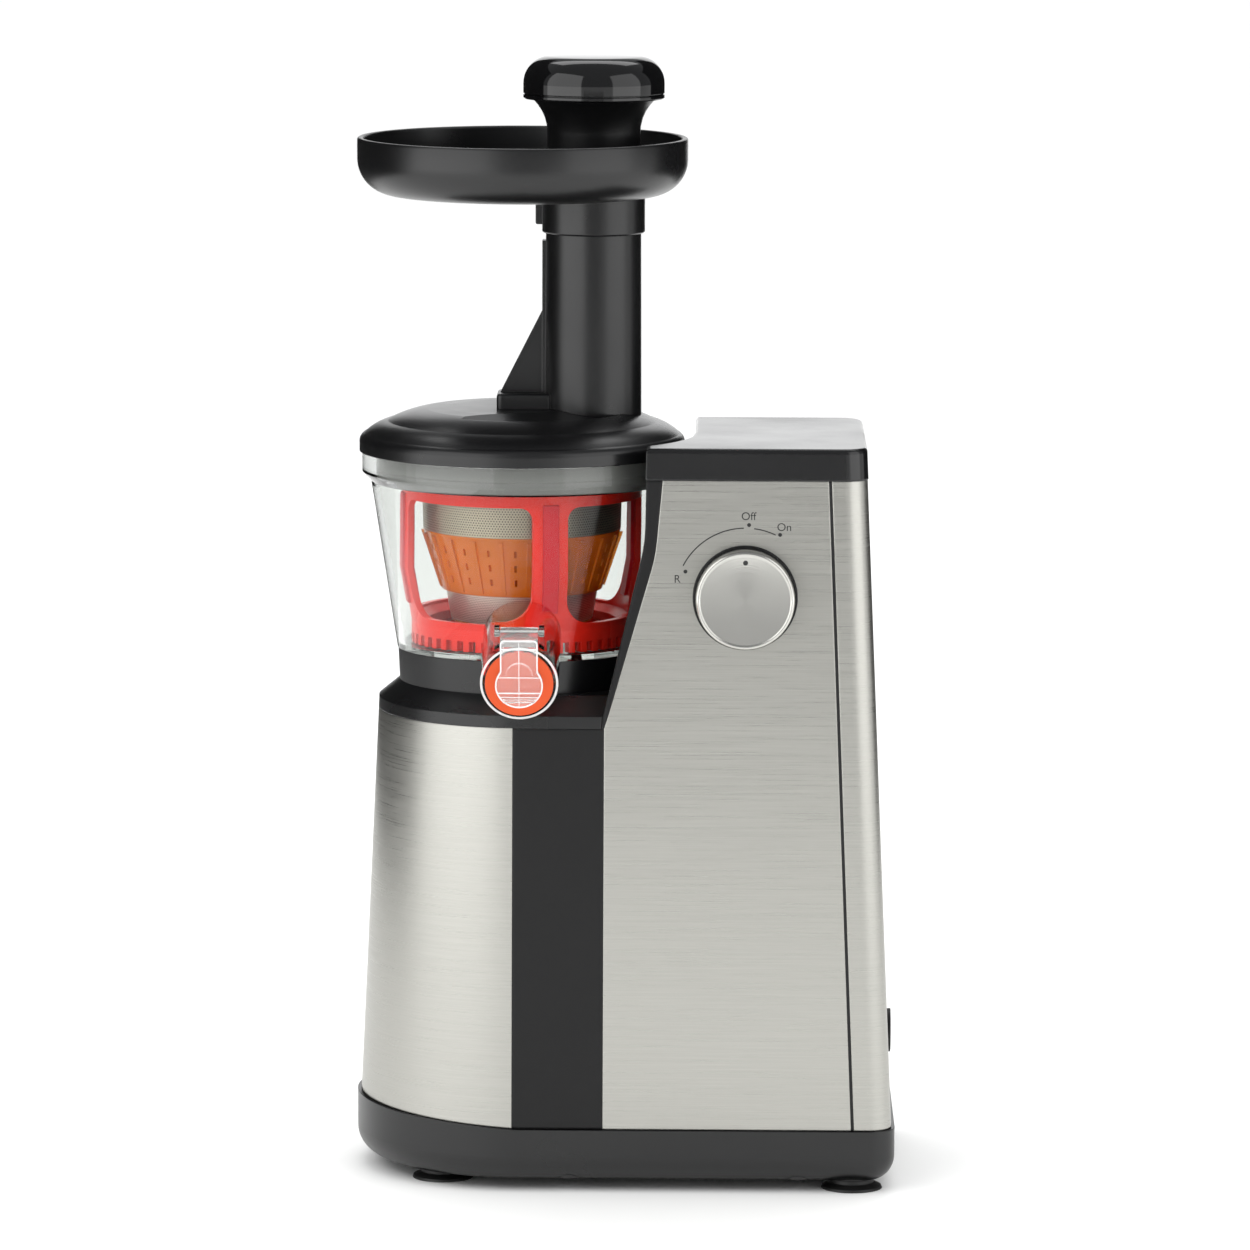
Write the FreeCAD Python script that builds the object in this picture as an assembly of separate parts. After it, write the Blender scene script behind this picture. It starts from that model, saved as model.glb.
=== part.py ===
import FreeCAD, Part
import os
from math import acos, cos, pi, radians, sin, sqrt, tan

# Cold press juicer, in millimetres. +X runs from the bowl to the tower, -Y is the knob side, +Z is up.
# The model is drawn round the bowl's axis, and each piece is saved with the whole object centred on X = 0.

V = FreeCAD.Vector
UP = V(0, 0, 1)
os.makedirs("parts", exist_ok=True)

# Body envelope: a plan with one round end and one square end, tapering upwards
ENV_LOW_Z = 24.7
ENV_TOP_Z = 287.1
ENV_LOW_HALF_WIDTH = 62.6
ENV_TOP_HALF_WIDTH = 55.4
ENV_TOP_ARC_SHIFT = 4.6
ENV_LOW_RIGHT_X = 144.0
ENV_TOP_RIGHT_X = 132.4
ENV_CORNER_RADIUS = 9.0
SHEET = 0.8
WALL = 2.5
GAP = 0.3
OVERCUT = 5.0

# Heights of the body
FOOT_HEIGHT = 4.0
TRAY_FLOOR_THICKNESS = 2.5
TRAY_EDGE_RADIUS = 10.0
TRAY_PROUD = 1.3
TRAY_LEFT_RISE = 3.8
TRAY_WALL = 3.0
DECK_EDGE_Z = 179.8
DECK_LIP_HEIGHT = 4.6
DECK_Z = 191.0
DECK_THICKNESS = 3.0
DECK_TOP_RADIUS = 47.4
CAP_HEIGHT = 12.1
CAP_PROUD = 0.3
CAP_EDGE_RADIUS = 1.8
STRIPE_LEFT_X = -2.0
STRIPE_RIGHT_X = 33.0
SEAM_TOP_X = 118.0
SEAM_LOW_X = 128.3
SEAM_WIDTH = 1.2
END_PANEL_MARGIN = 10.5
END_PANEL_THICKNESS = 2.5
LOUVRE_COUNT = 12
LOUVRE_PITCH = 7.0
LOUVRE_HEIGHT = 3.0
LOUVRE_HALF_LENGTH = 26.0
LOUVRE_LOW_Z = 120.0
GLAND_Z = 52.0
GLAND_RADIUS = 6.5
CORD_RADIUS = 3.6

# Bay that the bowl stands in, and the wing beside it
BAY_RADIUS = 66.6
BAY_BACK_X = 67.6
WING_TOP_X = 49.0
WING_KNEE_X = 48.2
WING_KNEE_Z = 250.0
WING_FOOT_X = 31.4
WING_TRIM_TOP_X = 55.4
WING_TRIM_KNEE_X = 52.3
WING_TRIM_KNEE_Z = 246.0
WING_TRIM_FOOT_X = 35.0
WING_TRIM_FOOT_Z = 186.0
WING_BEND_RADIUS = 60.0

# Feet
FOOT_RADIUS = 11.8
FOOT_NECK_RADIUS = 6.0
FOOT_HUB_RADIUS = 8.6
FOOT_CENTRES = [(-29.3, -34.5), (-29.3, 34.5), (129.0, -49.0), (129.0, 49.0)]

# Bowl
SEAT_RING_HEIGHT = 12.7
SEAT_RING_WALL = 4.0
SEAT_RING_TOP_RADIUS = 48.0
BOWL_FLOOR_Z = DECK_Z + SEAT_RING_HEIGHT
BOWL_FLOOR_THICKNESS = 2.3
BOWL_LOW_RADIUS = 48.4
BOWL_HIGH_RADIUS = 58.6
BOWL_WALL = 2.5
BOWL_SHOULDER_Z = 268.6
BOWL_BAND_Z = 271.4
BOWL_TOP_Z = 279.8
BOWL_BAND_RADIUS = 62.0
BOWL_MOUTH_RADIUS = 56.6
CHIMNEY_RADIUS = 10.4
CHIMNEY_BORE = 8.2
CHIMNEY_TOP_Z = 220.0
FLOOR_FIT = 0.4

# Juice spout, in front of the bowl
SPOUT_X = 1.5
SPOUT_TILT = 14.6
SPOUT_ROOT_Z = 213.6
SPOUT_ROOT_Y = 49.0
SPOUT_LENGTH = 44.6
SPOUT_RADIUS = 14.9
SPOUT_BORE = 13.3
EAR_GAP = 7.4
EAR_THICKNESS = 2.0
EAR_RADIUS = 3.0
HINGE_BACK = 7.0
HINGE_RISE = 2.6
HINGE_PIN_RADIUS = 1.1
LEVER_FIT = 0.06
LEVER_DISC_RADIUS = 9.0
LEVER_HALF_WIDTH = 7.1
LEVER_THICKNESS = 2.0
LEVER_TOP = SPOUT_RADIUS + HINGE_RISE + 1.0
PLUG_CLEARANCE = 0.4
PLUG_TAIL_RADIUS = 9.4
PLUG_DEPTH = 3.0
PLUG_FACE = 1.0

# Pulp duct, behind the bowl
DUCT_HALF_WIDTH = 14.0
DUCT_WALL = 2.0
DUCT_START_Y = 14.5
DUCT_BEND_Y = 58.0
DUCT_TILT = 20.0
DUCT_HEAD = 9.0
PULP_PORT_HALF_WIDTH = 9.5
PULP_PORT_LENGTH = 12.0
PULP_PORT_START_Y = 18.2
PULP_SLEEVE_WALL = 1.4

# Gears, by tooth count and module
MOTOR_PINION_TEETH = 12
REDUCTION_WHEEL_TEETH = 48
FIRST_MODULE = 1.0
REDUCTION_PINION_TEETH = 12
OUTPUT_TEETH = 48
SECOND_MODULE = 1.5
SUN_TEETH = 20
IDLER_TEETH = 16
RING_TEETH = SUN_TEETH + 2 * IDLER_TEETH
BOWL_MODULE = 1.5
PRESSURE_ANGLE = 20.0
BACKLASH = 0.26
ADDENDUM = 0.9
DEDENDUM = 1.2

# Auger and strainer
STRAINER_BASE_Z = BOWL_FLOOR_Z + 10.7
STRAINER_LOW_RADIUS = 27.4
STRAINER_WAIST_Z = 226.6
STRAINER_NECK_RADIUS = 29.6
STRAINER_WAIST_RADIUS = 31.4
STRAINER_BAND_TOP_Z = 249.5
STRAINER_BAND_RADIUS = 38.4
STRAINER_MESH_TOP_Z = 264.0
STRAINER_MESH_TOP_RADIUS = 38.8
STRAINER_RIM_RADIUS = 41.0
STRAINER_RIM_HEIGHT = 3.6
STRAINER_THICKNESS = 1.6
MESH_THICKNESS = 0.5
SLOT_COLUMNS = 22
SLOT_ROWS = 3
SLOT_WIDTH = 1.0
SLOT_HEIGHT = 2.6
SLOT_PITCH = 5.8
RIB_PROUD = 0.9
RIB_WIDTH = 1.6
AUGER_CLEARANCE = 0.7
AUGER_TOP_Z = 271.0
AUGER_CORE_TOP_RADIUS = 10.0
AUGER_CORE_MID_RADIUS = 17.0
AUGER_FOOT_RADIUS = 24.0
FLIGHT_THICKNESS = 3.2
FLIGHT_PITCH = 22.0
HEX_ACROSS_FLATS = 10.0
HEX_CLEARANCE = 0.25
HEX_TOP_Z = 238.0
PIN_RADIUS = 4.0
PIN_LENGTH = 20.0
RUN_FIT = 0.05

# Brush cage
BRUSH_TOP_Z = 268.0
BRUSH_TOP_RING_HEIGHT = 5.0
BRUSH_KNEE_Z = 236.0
BRUSH_RADIUS = 46.8
BRUSH_THICKNESS = 2.2
BRUSH_POSTS = 4
BRUSH_FIRST_POST = -75.0
BRUSH_POST_WIDTH = 13.5
BRUSH_RING_RADIUS = 43.0
BRUSH_BAND_Z = 210.4
BRUSH_BAND_TOP_Z = 214.8
WINDOW_RADIUS = 5.0
BRUSH_GAP_RADIUS = 41.2
WIPER_CHANNEL_WIDTH = 6.0
WIPER_FOOT = 4.6
WIPER_PROUD = 0.8
WIPER_PROUD_INSIDE = 1.5

# Lid, tray and pusher
FEED_X = 27.4
LID_RADIUS = 63.0
LID_LIP_HEIGHT = 3.4
LID_SLOPE_RADIUS = 60.9
LID_SLOPE_Z = 286.9
LID_SHOULDER_RADIUS = 52.0
LID_SHOULDER_Z = 291.6
LID_CROWN_RADIUS = 37.0
LID_TOP_Z = 296.6
LID_ROOF_Z = 288.6
LID_WALL = 2.2
LID_SPIGOT_DEPTH = 6.0
RECESS_RADIUS = 41.0
RECESS_POINT = V(-8.0, -24.0, LID_TOP_Z)
RECESS_NORMAL = V(0.36 * 0.22, -0.93 * 0.22, 1.0)
TUBE_LOW_RADIUS = 18.8
TUBE_RADIUS = 18.4
TUBE_STEP_Z = 364.6
TUBE_SPIGOT_RADIUS = 17.2
TUBE_BORE = 15.8
TRAY_Z = 376.4
TRAY_TOP_Z = 401.2
TRAY_RADIUS = 63.8
TRAY_BEND = 14.0
TRAY_THICKNESS = 2.4
COLLAR_RADIUS = 19.85
COLLAR_FIT = 0.3
STEM_CLEARANCE = 0.4
STEM_LOW_Z = 306.0
NECK_RADIUS = 17.95
NECK_Z = 404.0
NECK_FLARE_RADIUS = 25.4
PUSHER_SEAM_Z = 416.3
PUSHER_RADIUS = 27.4
PUSHER_TOP_Z = 433.0
BOSS_HALF_WIDTH = 9.7
BOSS_TOP_Z = 302.6
BUSH_WALL = 2.0
BUSH_LENGTH = 11.0
GUSSET_TOP_Z = 339.0
GUSSET_THICKNESS = 2.6

# Knob
KNOB_X = 86.5
KNOB_Z = 230.4
KNOB_RADIUS = 19.2
KNOB_FACE_RADIUS = 18.4
KNOB_HEIGHT = 11.5
DIAL_SEAT_HEIGHT = 0.8
SPINDLE_RADIUS = 3.0
SWITCH_DEPTH = 16.0

# Motor and gearbox
STAGE_ONE_CENTRES = (MOTOR_PINION_TEETH + REDUCTION_WHEEL_TEETH) * FIRST_MODULE / 2
STAGE_TWO_CENTRES = (REDUCTION_PINION_TEETH + OUTPUT_TEETH) * SECOND_MODULE / 2
REDUCTION_X = STAGE_TWO_CENTRES
MOTOR_X = STAGE_TWO_CENTRES + STAGE_ONE_CENTRES
GEARBOX_TOP_Z = 176.0
GEARBOX_HEIGHT = 40.0
GEARBOX_PLATE_THICKNESS = 6.0
GEARBOX_WALL = 3.0
GEARBOX_MARGIN = 5.0
GEAR_FACE = 9.0
GEAR_PLAY = 1.0
SHAFT_RADIUS = 6.0
SHAFT_TOP_Z = 234.0
MOTOR_SHAFT_RADIUS = 3.0
STATOR_SIZE = 76.0
STATOR_STACK = 34.0
STATOR_DROP = 22.0
ROTOR_RADIUS = 20.0
AIR_GAP = 0.5
WINDING_RISE = 12.0
BRACKET_THICKNESS = 3.0
FAN_RADIUS = 31.0
FAN_HEIGHT = 12.0
FAN_BLADES = 9
CAPACITOR_RADIUS = 15.0
CAPACITOR_HEIGHT = 48.0
SCREW_RADIUS = 2.0

# Reach of the whole object, which puts its middle on X = 0
LEFT_REACH = ENV_LOW_HALF_WIDTH + TRAY_PROUD
RIGHT_REACH = ENV_LOW_RIGHT_X + TRAY_PROUD
BOWL_X = (LEFT_REACH - RIGHT_REACH) / 2


# Shapes that many pieces use

def save(name, shape):
    placed = shape.copy()
    placed.translate(V(BOWL_X, 0, 0))
    placed.exportStep("parts/" + name + ".step")


def cylinder(radius, low, high, x=0.0, y=0.0):
    return Part.makeCylinder(radius, high - low, V(x, y, low), UP)


def tube(outer, inner, low, high, x=0.0, y=0.0):
    return cylinder(outer, low, high, x, y).cut(cylinder(inner, low - OVERCUT, high + OVERCUT, x, y))


def box(x0, x1, y0, y1, z0, z1):
    return Part.makeBox(x1 - x0, y1 - y0, z1 - z0, V(x0, y0, z0))


def turned(profile, x=0.0, y=0.0):
    """Turn a closed outline of (radius, height) points about an upright axis."""
    points = [V(r, 0, z) for r, z in profile]
    face = Part.Face(Part.makePolygon(points + points[:1]))
    solid = face.revolve(V(0, 0, 0), UP, 360)
    solid.translate(V(x, y, 0))
    return solid


def lathe(outline, x=0.0, y=0.0):
    """Turn an outline; a four-number point ends an arc: its middle's radius and height, then its end's."""
    edges = []
    here = V(outline[0][0], 0, outline[0][1])
    for point in outline[1:] + outline[:1]:
        there = V(point[-2], 0, point[-1])
        if len(point) == 4:
            edges.append(Part.Arc(here, V(point[0], 0, point[1]), there).toShape())
        else:
            edges.append(Part.LineSegment(here, there).toShape())
        here = there
    solid = Part.Face(Part.Wire(edges)).revolve(V(0, 0, 0), UP, 360)
    solid.translate(V(x, y, 0))
    return solid


def plate_xz(points, y0, y1):
    """Extrude an outline of (x, z) points along Y."""
    corners = [V(x, y0, z) for x, z in points]
    return Part.Face(Part.makePolygon(corners + corners[:1])).extrude(V(0, y1 - y0, 0))


def plate_yz(points, x0, x1):
    """Extrude an outline of (y, z) points along X."""
    corners = [V(x0, y, z) for y, z in points]
    return Part.Face(Part.makePolygon(corners + corners[:1])).extrude(V(x1 - x0, 0, 0))


def spun(shape, angle, x=0.0, y=0.0):
    copy = shape.copy()
    copy.rotate(V(x, y, 0), UP, angle)
    return copy


def ring_of(shape, count, first=0.0):
    return [spun(shape, first + 360.0 * i / count) for i in range(count)]


def hexagon(across, low, high):
    corner = across / sqrt(3)
    points = [V(corner * cos(pi * i / 3), corner * sin(pi * i / 3), low) for i in range(6)]
    return Part.Face(Part.makePolygon(points + points[:1])).extrude(V(0, 0, high - low))


def rod(radius, start, end):
    """A round bar between two points."""
    run = end.sub(start)
    return Part.makeCylinder(radius, run.Length, start, run)


# Body envelope

def envelope_wire(z, inset):
    share = (z - ENV_LOW_Z) / (ENV_TOP_Z - ENV_LOW_Z)
    half = ENV_LOW_HALF_WIDTH + (ENV_TOP_HALF_WIDTH - ENV_LOW_HALF_WIDTH) * share - inset
    centre = ENV_TOP_ARC_SHIFT * share
    right = ENV_LOW_RIGHT_X + (ENV_TOP_RIGHT_X - ENV_LOW_RIGHT_X) * share - inset
    corner = max(ENV_CORNER_RADIUS - inset, 1.0)
    bite = corner * (1 - cos(pi / 4))
    a = V(centre, -half, z)
    b = V(right - corner, -half, z)
    c = V(right, -half + corner, z)
    d = V(right, half - corner, z)
    e = V(right - corner, half, z)
    f = V(centre, half, z)
    low_mid = V(right - bite, -half + bite, z)
    high_mid = V(right - bite, half - bite, z)
    left_mid = V(centre - half, 0, z)
    edges = [
        Part.LineSegment(a, b).toShape(),
        Part.Arc(b, low_mid, c).toShape(),
        Part.LineSegment(c, d).toShape(),
        Part.Arc(d, high_mid, e).toShape(),
        Part.LineSegment(e, f).toShape(),
        Part.Arc(f, left_mid, a).toShape(),
    ]
    return Part.Wire(edges)


def envelope(inset, low, high):
    return Part.makeLoft([envelope_wire(low, inset), envelope_wire(high, inset)], True, True)


def half_width(z):
    share = (z - ENV_LOW_Z) / (ENV_TOP_Z - ENV_LOW_Z)
    return ENV_LOW_HALF_WIDTH + (ENV_TOP_HALF_WIDTH - ENV_LOW_HALF_WIDTH) * share


def arc_centre(z):
    return ENV_TOP_ARC_SHIFT * (z - ENV_LOW_Z) / (ENV_TOP_Z - ENV_LOW_Z)


def right_end(z):
    share = (z - ENV_LOW_Z) / (ENV_TOP_Z - ENV_LOW_Z)
    return ENV_LOW_RIGHT_X + (ENV_TOP_RIGHT_X - ENV_LOW_RIGHT_X) * share


def bent_profile(points, radius):
    """A side outline of (x, z) points whose second corner is an arc of the given radius."""
    a, b, c = [V(x, 0, z) for x, z in points[:3]]
    back = a.sub(b).normalize()
    on = c.sub(b).normalize()
    half_turn = (pi - back.getAngle(on)) / 2
    run = radius * tan(half_turn)
    start = b.add(back * run)
    end = b.add(on * run)
    inward = back.add(on).normalize()
    middle = b.add(inward * (radius / cos(half_turn) - radius))
    rest = [V(x, 0, z) for x, z in points[2:]]
    edges = [Part.LineSegment(a, start).toShape(), Part.Arc(start, middle, end).toShape()]
    corners = [end] + rest + [a]
    edges += [Part.LineSegment(p, q).toShape() for p, q in zip(corners, corners[1:])]
    return Part.Face(Part.Wire(edges))


def wing_cut(grow):
    """What lies on the bowl's side of the wing's front edge."""
    outline = [
        (WING_TOP_X + grow, ENV_TOP_Z + OVERCUT),
        (WING_KNEE_X + grow, WING_KNEE_Z),
        (WING_FOOT_X + grow, DECK_EDGE_Z),
        (WING_FOOT_X + grow, DECK_EDGE_Z - OVERCUT),
        (-ENV_LOW_HALF_WIDTH - OVERCUT, DECK_EDGE_Z - OVERCUT),
        (-ENV_LOW_HALF_WIDTH - OVERCUT, ENV_TOP_Z + OVERCUT),
    ]
    face = bent_profile(outline, WING_BEND_RADIUS)
    face.translate(V(0, -ENV_LOW_HALF_WIDTH - OVERCUT, 0))
    return face.extrude(V(0, ENV_LOW_HALF_WIDTH + OVERCUT, 0))


def bay(grow, low):
    """The bowl's bay: a round well, the wing's slope in front and a straight side behind."""
    top = ENV_TOP_Z + OVERCUT
    well = cylinder(BAY_RADIUS + grow, low, top)
    reach = ENV_LOW_HALF_WIDTH + OVERCUT
    behind = box(-reach, BAY_BACK_X + grow, 0, reach, low, top)
    before = wing_cut(grow).common(box(-reach, BAY_RADIUS, -reach, 0, low, top))
    return well.fuse(behind).fuse(before)


# Base tray and feet

TRAY_BOTTOM_Z = FOOT_HEIGHT
TRAY_CUT_HALF = ENV_LOW_HALF_WIDTH + TRAY_PROUD + OVERCUT


def tray_rim_cut(offset):
    """The rim's top: level along the tower, rising towards the round end."""
    reach = RIGHT_REACH + OVERCUT
    rise = TRAY_LEFT_RISE * TRAY_CUT_HALF / ENV_LOW_HALF_WIDTH
    outline = [
        (-TRAY_CUT_HALF, ENV_LOW_Z + rise + offset),
        (0, ENV_LOW_Z + offset),
        (reach, ENV_LOW_Z + offset),
        (reach, ENV_TOP_Z + OVERCUT),
        (-TRAY_CUT_HALF, ENV_TOP_Z + OVERCUT),
    ]
    return plate_xz(outline, -TRAY_CUT_HALF, TRAY_CUT_HALF)


def tub(inset, low, radius, high):
    """The base tray's outside: upright walls and a rounded lower edge."""
    wire = envelope_wire(ENV_LOW_Z, inset)
    wire.translate(V(0, 0, low - ENV_LOW_Z))
    solid = Part.Face(wire).extrude(V(0, 0, high - low))
    edges = [e for e in solid.Edges if e.BoundBox.ZMax < low + 0.01]
    return solid.makeFillet(radius, edges)


tray_top = ENV_LOW_Z + 2 * TRAY_LEFT_RISE
base_tray = tub(-TRAY_PROUD, TRAY_BOTTOM_Z, TRAY_EDGE_RADIUS, tray_top)
base_tray = base_tray.cut(tub(TRAY_WALL - TRAY_PROUD, TRAY_BOTTOM_Z + TRAY_FLOOR_THICKNESS,
                              TRAY_EDGE_RADIUS - TRAY_WALL, tray_top + OVERCUT))
base_tray = base_tray.cut(tray_rim_cut(0))
foot_socket_depth = 3.0
feet = []
for foot_x, foot_y in FOOT_CENTRES:
    boss_top = TRAY_BOTTOM_Z + TRAY_FLOOR_THICKNESS + foot_socket_depth
    base_tray = base_tray.fuse(cylinder(FOOT_HUB_RADIUS, TRAY_BOTTOM_Z, boss_top, foot_x, foot_y))
    base_tray = base_tray.cut(cylinder(FOOT_NECK_RADIUS - 2, TRAY_BOTTOM_Z - 1, boss_top - 1.5, foot_x,
                                       foot_y))
    cup = [(0, 1.2), (FOOT_RADIUS - 3, 0.0), (FOOT_RADIUS, 0.0), (FOOT_RADIUS - 0.4, 1.0),
           (FOOT_HUB_RADIUS, 2.4), (FOOT_HUB_RADIUS - 0.3, TRAY_BOTTOM_Z),
           (FOOT_NECK_RADIUS - 2, TRAY_BOTTOM_Z),
           (FOOT_NECK_RADIUS - 2, boss_top - 1.5), (0, boss_top - 1.5)]
    feet.append(turned(cup, foot_x, foot_y))
vent_count = 7
for row in range(vent_count):
    vent_x = MOTOR_X - 30 + 60.0 * row / (vent_count - 1)
    base_tray = base_tray.cut(box(vent_x - 1.5, vent_x + 1.5, -22, 22, TRAY_BOTTOM_Z - 1,
                                  TRAY_BOTTOM_Z + TRAY_FLOOR_THICKNESS + 1))
save("suction_feet", Part.makeCompound(feet))


# Steel cladding: one sheet thick, cut from the envelope's skin

RIM_GAP = 0.2
tower_top = ENV_TOP_Z - CAP_HEIGHT
skin = envelope(0, ENV_LOW_Z - OVERCUT,
                tower_top).cut(envelope(SHEET, ENV_LOW_Z - 2 * OVERCUT, tower_top + OVERCUT))
skin = skin.common(tray_rim_cut(RIM_GAP))
far = RIGHT_REACH + OVERCUT


def side_of(shape, front):
    """Keep one long side of a shape."""
    if front:
        return shape.common(box(-far, far, -far, 0, 0, ENV_TOP_Z))
    return shape.common(box(-far, far, 0, far, 0, ENV_TOP_Z))


def seam_x(z):
    share = (z - ENV_LOW_Z) / (tower_top - ENV_LOW_Z)
    return SEAM_LOW_X + (SEAM_TOP_X - SEAM_LOW_X) * share


def past_seam(offset):
    """What lies to the right of the seam between the side panel and the corner strip."""
    low = ENV_LOW_Z - OVERCUT
    high = tower_top + OVERCUT
    outline = [(seam_x(low) + offset, low), (far, low), (far, high), (seam_x(high) + offset, high)]
    return plate_xz(outline, -far, far)


def steel_edge():
    """The front panel's left edge: upright beside the stripe, then along the wing's trim."""
    outline = [
        (WING_TRIM_TOP_X, tower_top + OVERCUT),
        (WING_TRIM_KNEE_X, WING_TRIM_KNEE_Z),
        (WING_TRIM_FOOT_X, WING_TRIM_FOOT_Z),
        (STRIPE_RIGHT_X, DECK_EDGE_Z),
        (STRIPE_RIGHT_X, 0),
        (far, 0),
        (far, tower_top + OVERCUT),
    ]
    face = bent_profile(outline, WING_BEND_RADIUS)
    face.translate(V(0, -far, 0))
    return face.extrude(V(0, far, 0))


left_steel_wrap = skin.common(box(-far, STRIPE_LEFT_X, -far, far, 0, DECK_EDGE_Z))
front_steel_panel = side_of(skin, True).common(steel_edge()).cut(past_seam(0))
spindle_hole = Part.makeCylinder(SPINDLE_RADIUS + 1.5, 2 * far, V(KNOB_X, -far, KNOB_Z), V(0, 1, 0))
front_steel_panel = front_steel_panel.cut(spindle_hole.common(box(0, far, -far, 0, 0, ENV_TOP_Z)))
behind_tower = box(BAY_BACK_X + SEAM_WIDTH, far, 0, far, DECK_EDGE_Z, ENV_TOP_Z)
behind_foot = box(STRIPE_RIGHT_X, far, 0, far, 0, DECK_EDGE_Z)
back_steel_panel = side_of(skin, False).common(behind_tower.fuse(behind_foot)).cut(past_seam(0))
end_half = ENV_TOP_HALF_WIDTH - END_PANEL_MARGIN
end_zone = box(SEAM_LOW_X, far, -end_half, end_half, 0, ENV_TOP_Z)
corner_strips = skin.common(past_seam(SEAM_WIDTH)).cut(end_zone)
save("left_steel_wrap", left_steel_wrap)
save("front_steel_panel", front_steel_panel)
save("back_steel_panel", back_steel_panel)
save("corner_steel_strips", corner_strips)

# End panel: black, flush with the strips, with louvres and the cord's inlet

end_low = ENV_LOW_Z + RIM_GAP
end_skin = envelope(0, end_low, tower_top).cut(envelope(END_PANEL_THICKNESS, end_low - OVERCUT,
                                                        tower_top + OVERCUT))
end_zone_inner = box(SEAM_LOW_X - 20, far, -end_half, end_half, 0, ENV_TOP_Z)
end_panel = end_skin.common(end_zone_inner)
louvres = []
for i in range(LOUVRE_COUNT):
    low = LOUVRE_LOW_Z + LOUVRE_PITCH * i
    louvres.append(box(ENV_TOP_RIGHT_X - 10, far, -LOUVRE_HALF_LENGTH, LOUVRE_HALF_LENGTH, low,
                       low + LOUVRE_HEIGHT))
gland_hole = Part.makeCylinder(GLAND_RADIUS, 60, V(right_end(GLAND_Z) - 30, 0, GLAND_Z), V(1, 0, 0))
end_panel = end_panel.cut(Part.makeCompound(louvres)).cut(gland_hole)
save("end_panel", end_panel)

# Chassis: the black inner shell that carries the cladding and shows as stripe, wing trim and bay wall

cavity_inset = SHEET + WALL
shell_low = ENV_LOW_Z + RIM_GAP
low_body = envelope(0, shell_low, DECK_EDGE_Z).common(tray_rim_cut(RIM_GAP))
tower_body = envelope(0, DECK_EDGE_Z, tower_top).cut(bay(0, DECK_EDGE_Z - 1))
cavity_low = envelope(cavity_inset, shell_low - OVERCUT, DECK_EDGE_Z)
cavity_high = envelope(cavity_inset, DECK_EDGE_Z - 1, tower_top + OVERCUT).cut(bay(WALL, DECK_EDGE_Z))
chassis_frame = low_body.fuse(tower_body).cut(cavity_low).cut(cavity_high)
for sheet in (left_steel_wrap, front_steel_panel, back_steel_panel, corner_strips):
    chassis_frame = chassis_frame.cut(sheet)
chassis_frame = chassis_frame.cut(envelope(0, shell_low - 1, tower_top + 1).common(end_zone_inner).cut(
    envelope(END_PANEL_THICKNESS, shell_low - OVERCUT, tower_top + OVERCUT)))
chassis_frame = chassis_frame.cut(gland_hole)
louvre_window = box(ENV_TOP_RIGHT_X - 12, far, -LOUVRE_HALF_LENGTH, LOUVRE_HALF_LENGTH,
                    LOUVRE_LOW_Z, LOUVRE_LOW_Z + LOUVRE_PITCH * LOUVRE_COUNT)
chassis_frame = chassis_frame.cut(louvre_window).cut(spindle_hole.common(box(0, far, -far, 0, 0, ENV_TOP_Z)))

# Tower cap

cap_low = tower_top
tower_cap = envelope(-CAP_PROUD, cap_low, ENV_TOP_Z).cut(bay(-CAP_PROUD, DECK_EDGE_Z))
top_edges = [e for e in tower_cap.Edges if e.BoundBox.ZMin > ENV_TOP_Z - 0.01]
tower_cap = tower_cap.makeFillet(CAP_EDGE_RADIUS, top_edges)
cap_hollow = envelope(WALL, cap_low - OVERCUT, ENV_TOP_Z - WALL).cut(bay(WALL, DECK_EDGE_Z))
tower_cap = tower_cap.cut(cap_hollow)
save("tower_cap", tower_cap)

# Shoulder cover: the deck under the bowl, with the boss that the gearbox hangs from

lip_top = DECK_EDGE_Z + DECK_LIP_HEIGHT


def deck_wire(z, half, centre):
    """A plan as wide as given, round on the left and running on past the bay's wall."""
    a = V(centre, -half, z)
    b = V(BAY_RADIUS + OVERCUT, -half, z)
    c = V(BAY_RADIUS + OVERCUT, half, z)
    d = V(centre, half, z)
    left = V(centre - half, 0, z)
    edges = [Part.LineSegment(a, b).toShape(), Part.LineSegment(b, c).toShape(),
             Part.LineSegment(c, d).toShape(), Part.Arc(d, left, a).toShape()]
    return Part.Wire(edges)


def deck_body(inset):
    low = deck_wire(lip_top - inset, half_width(lip_top) - inset, arc_centre(lip_top))
    high = deck_wire(DECK_Z - inset, DECK_TOP_RADIUS - inset, 0)
    return Part.makeLoft([low, high], True, True)


deck_zone = bay(-GAP, DECK_EDGE_Z)
lip = envelope(0, DECK_EDGE_Z, lip_top)
lip_inner = envelope(cavity_inset, DECK_EDGE_Z - 1, lip_top + 1)
slope_outer = deck_body(0).common(envelope(0, DECK_EDGE_Z, DECK_Z + 1))
shoulder = lip.fuse(slope_outer)
hollow = lip_inner.common(box(-far, far, -far, far, DECK_EDGE_Z - 1, lip_top - 0.5)).fuse(
    deck_body(DECK_THICKNESS).common(envelope(cavity_inset, DECK_EDGE_Z - 1, DECK_Z)))
shoulder = shoulder.cut(hollow).common(deck_zone)
shoulder = shoulder.cut(cylinder(CHIMNEY_BORE + 3, DECK_Z - 20, DECK_Z + 1))

# Seat ring that the bowl stands on, open behind for the pulp duct

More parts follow.
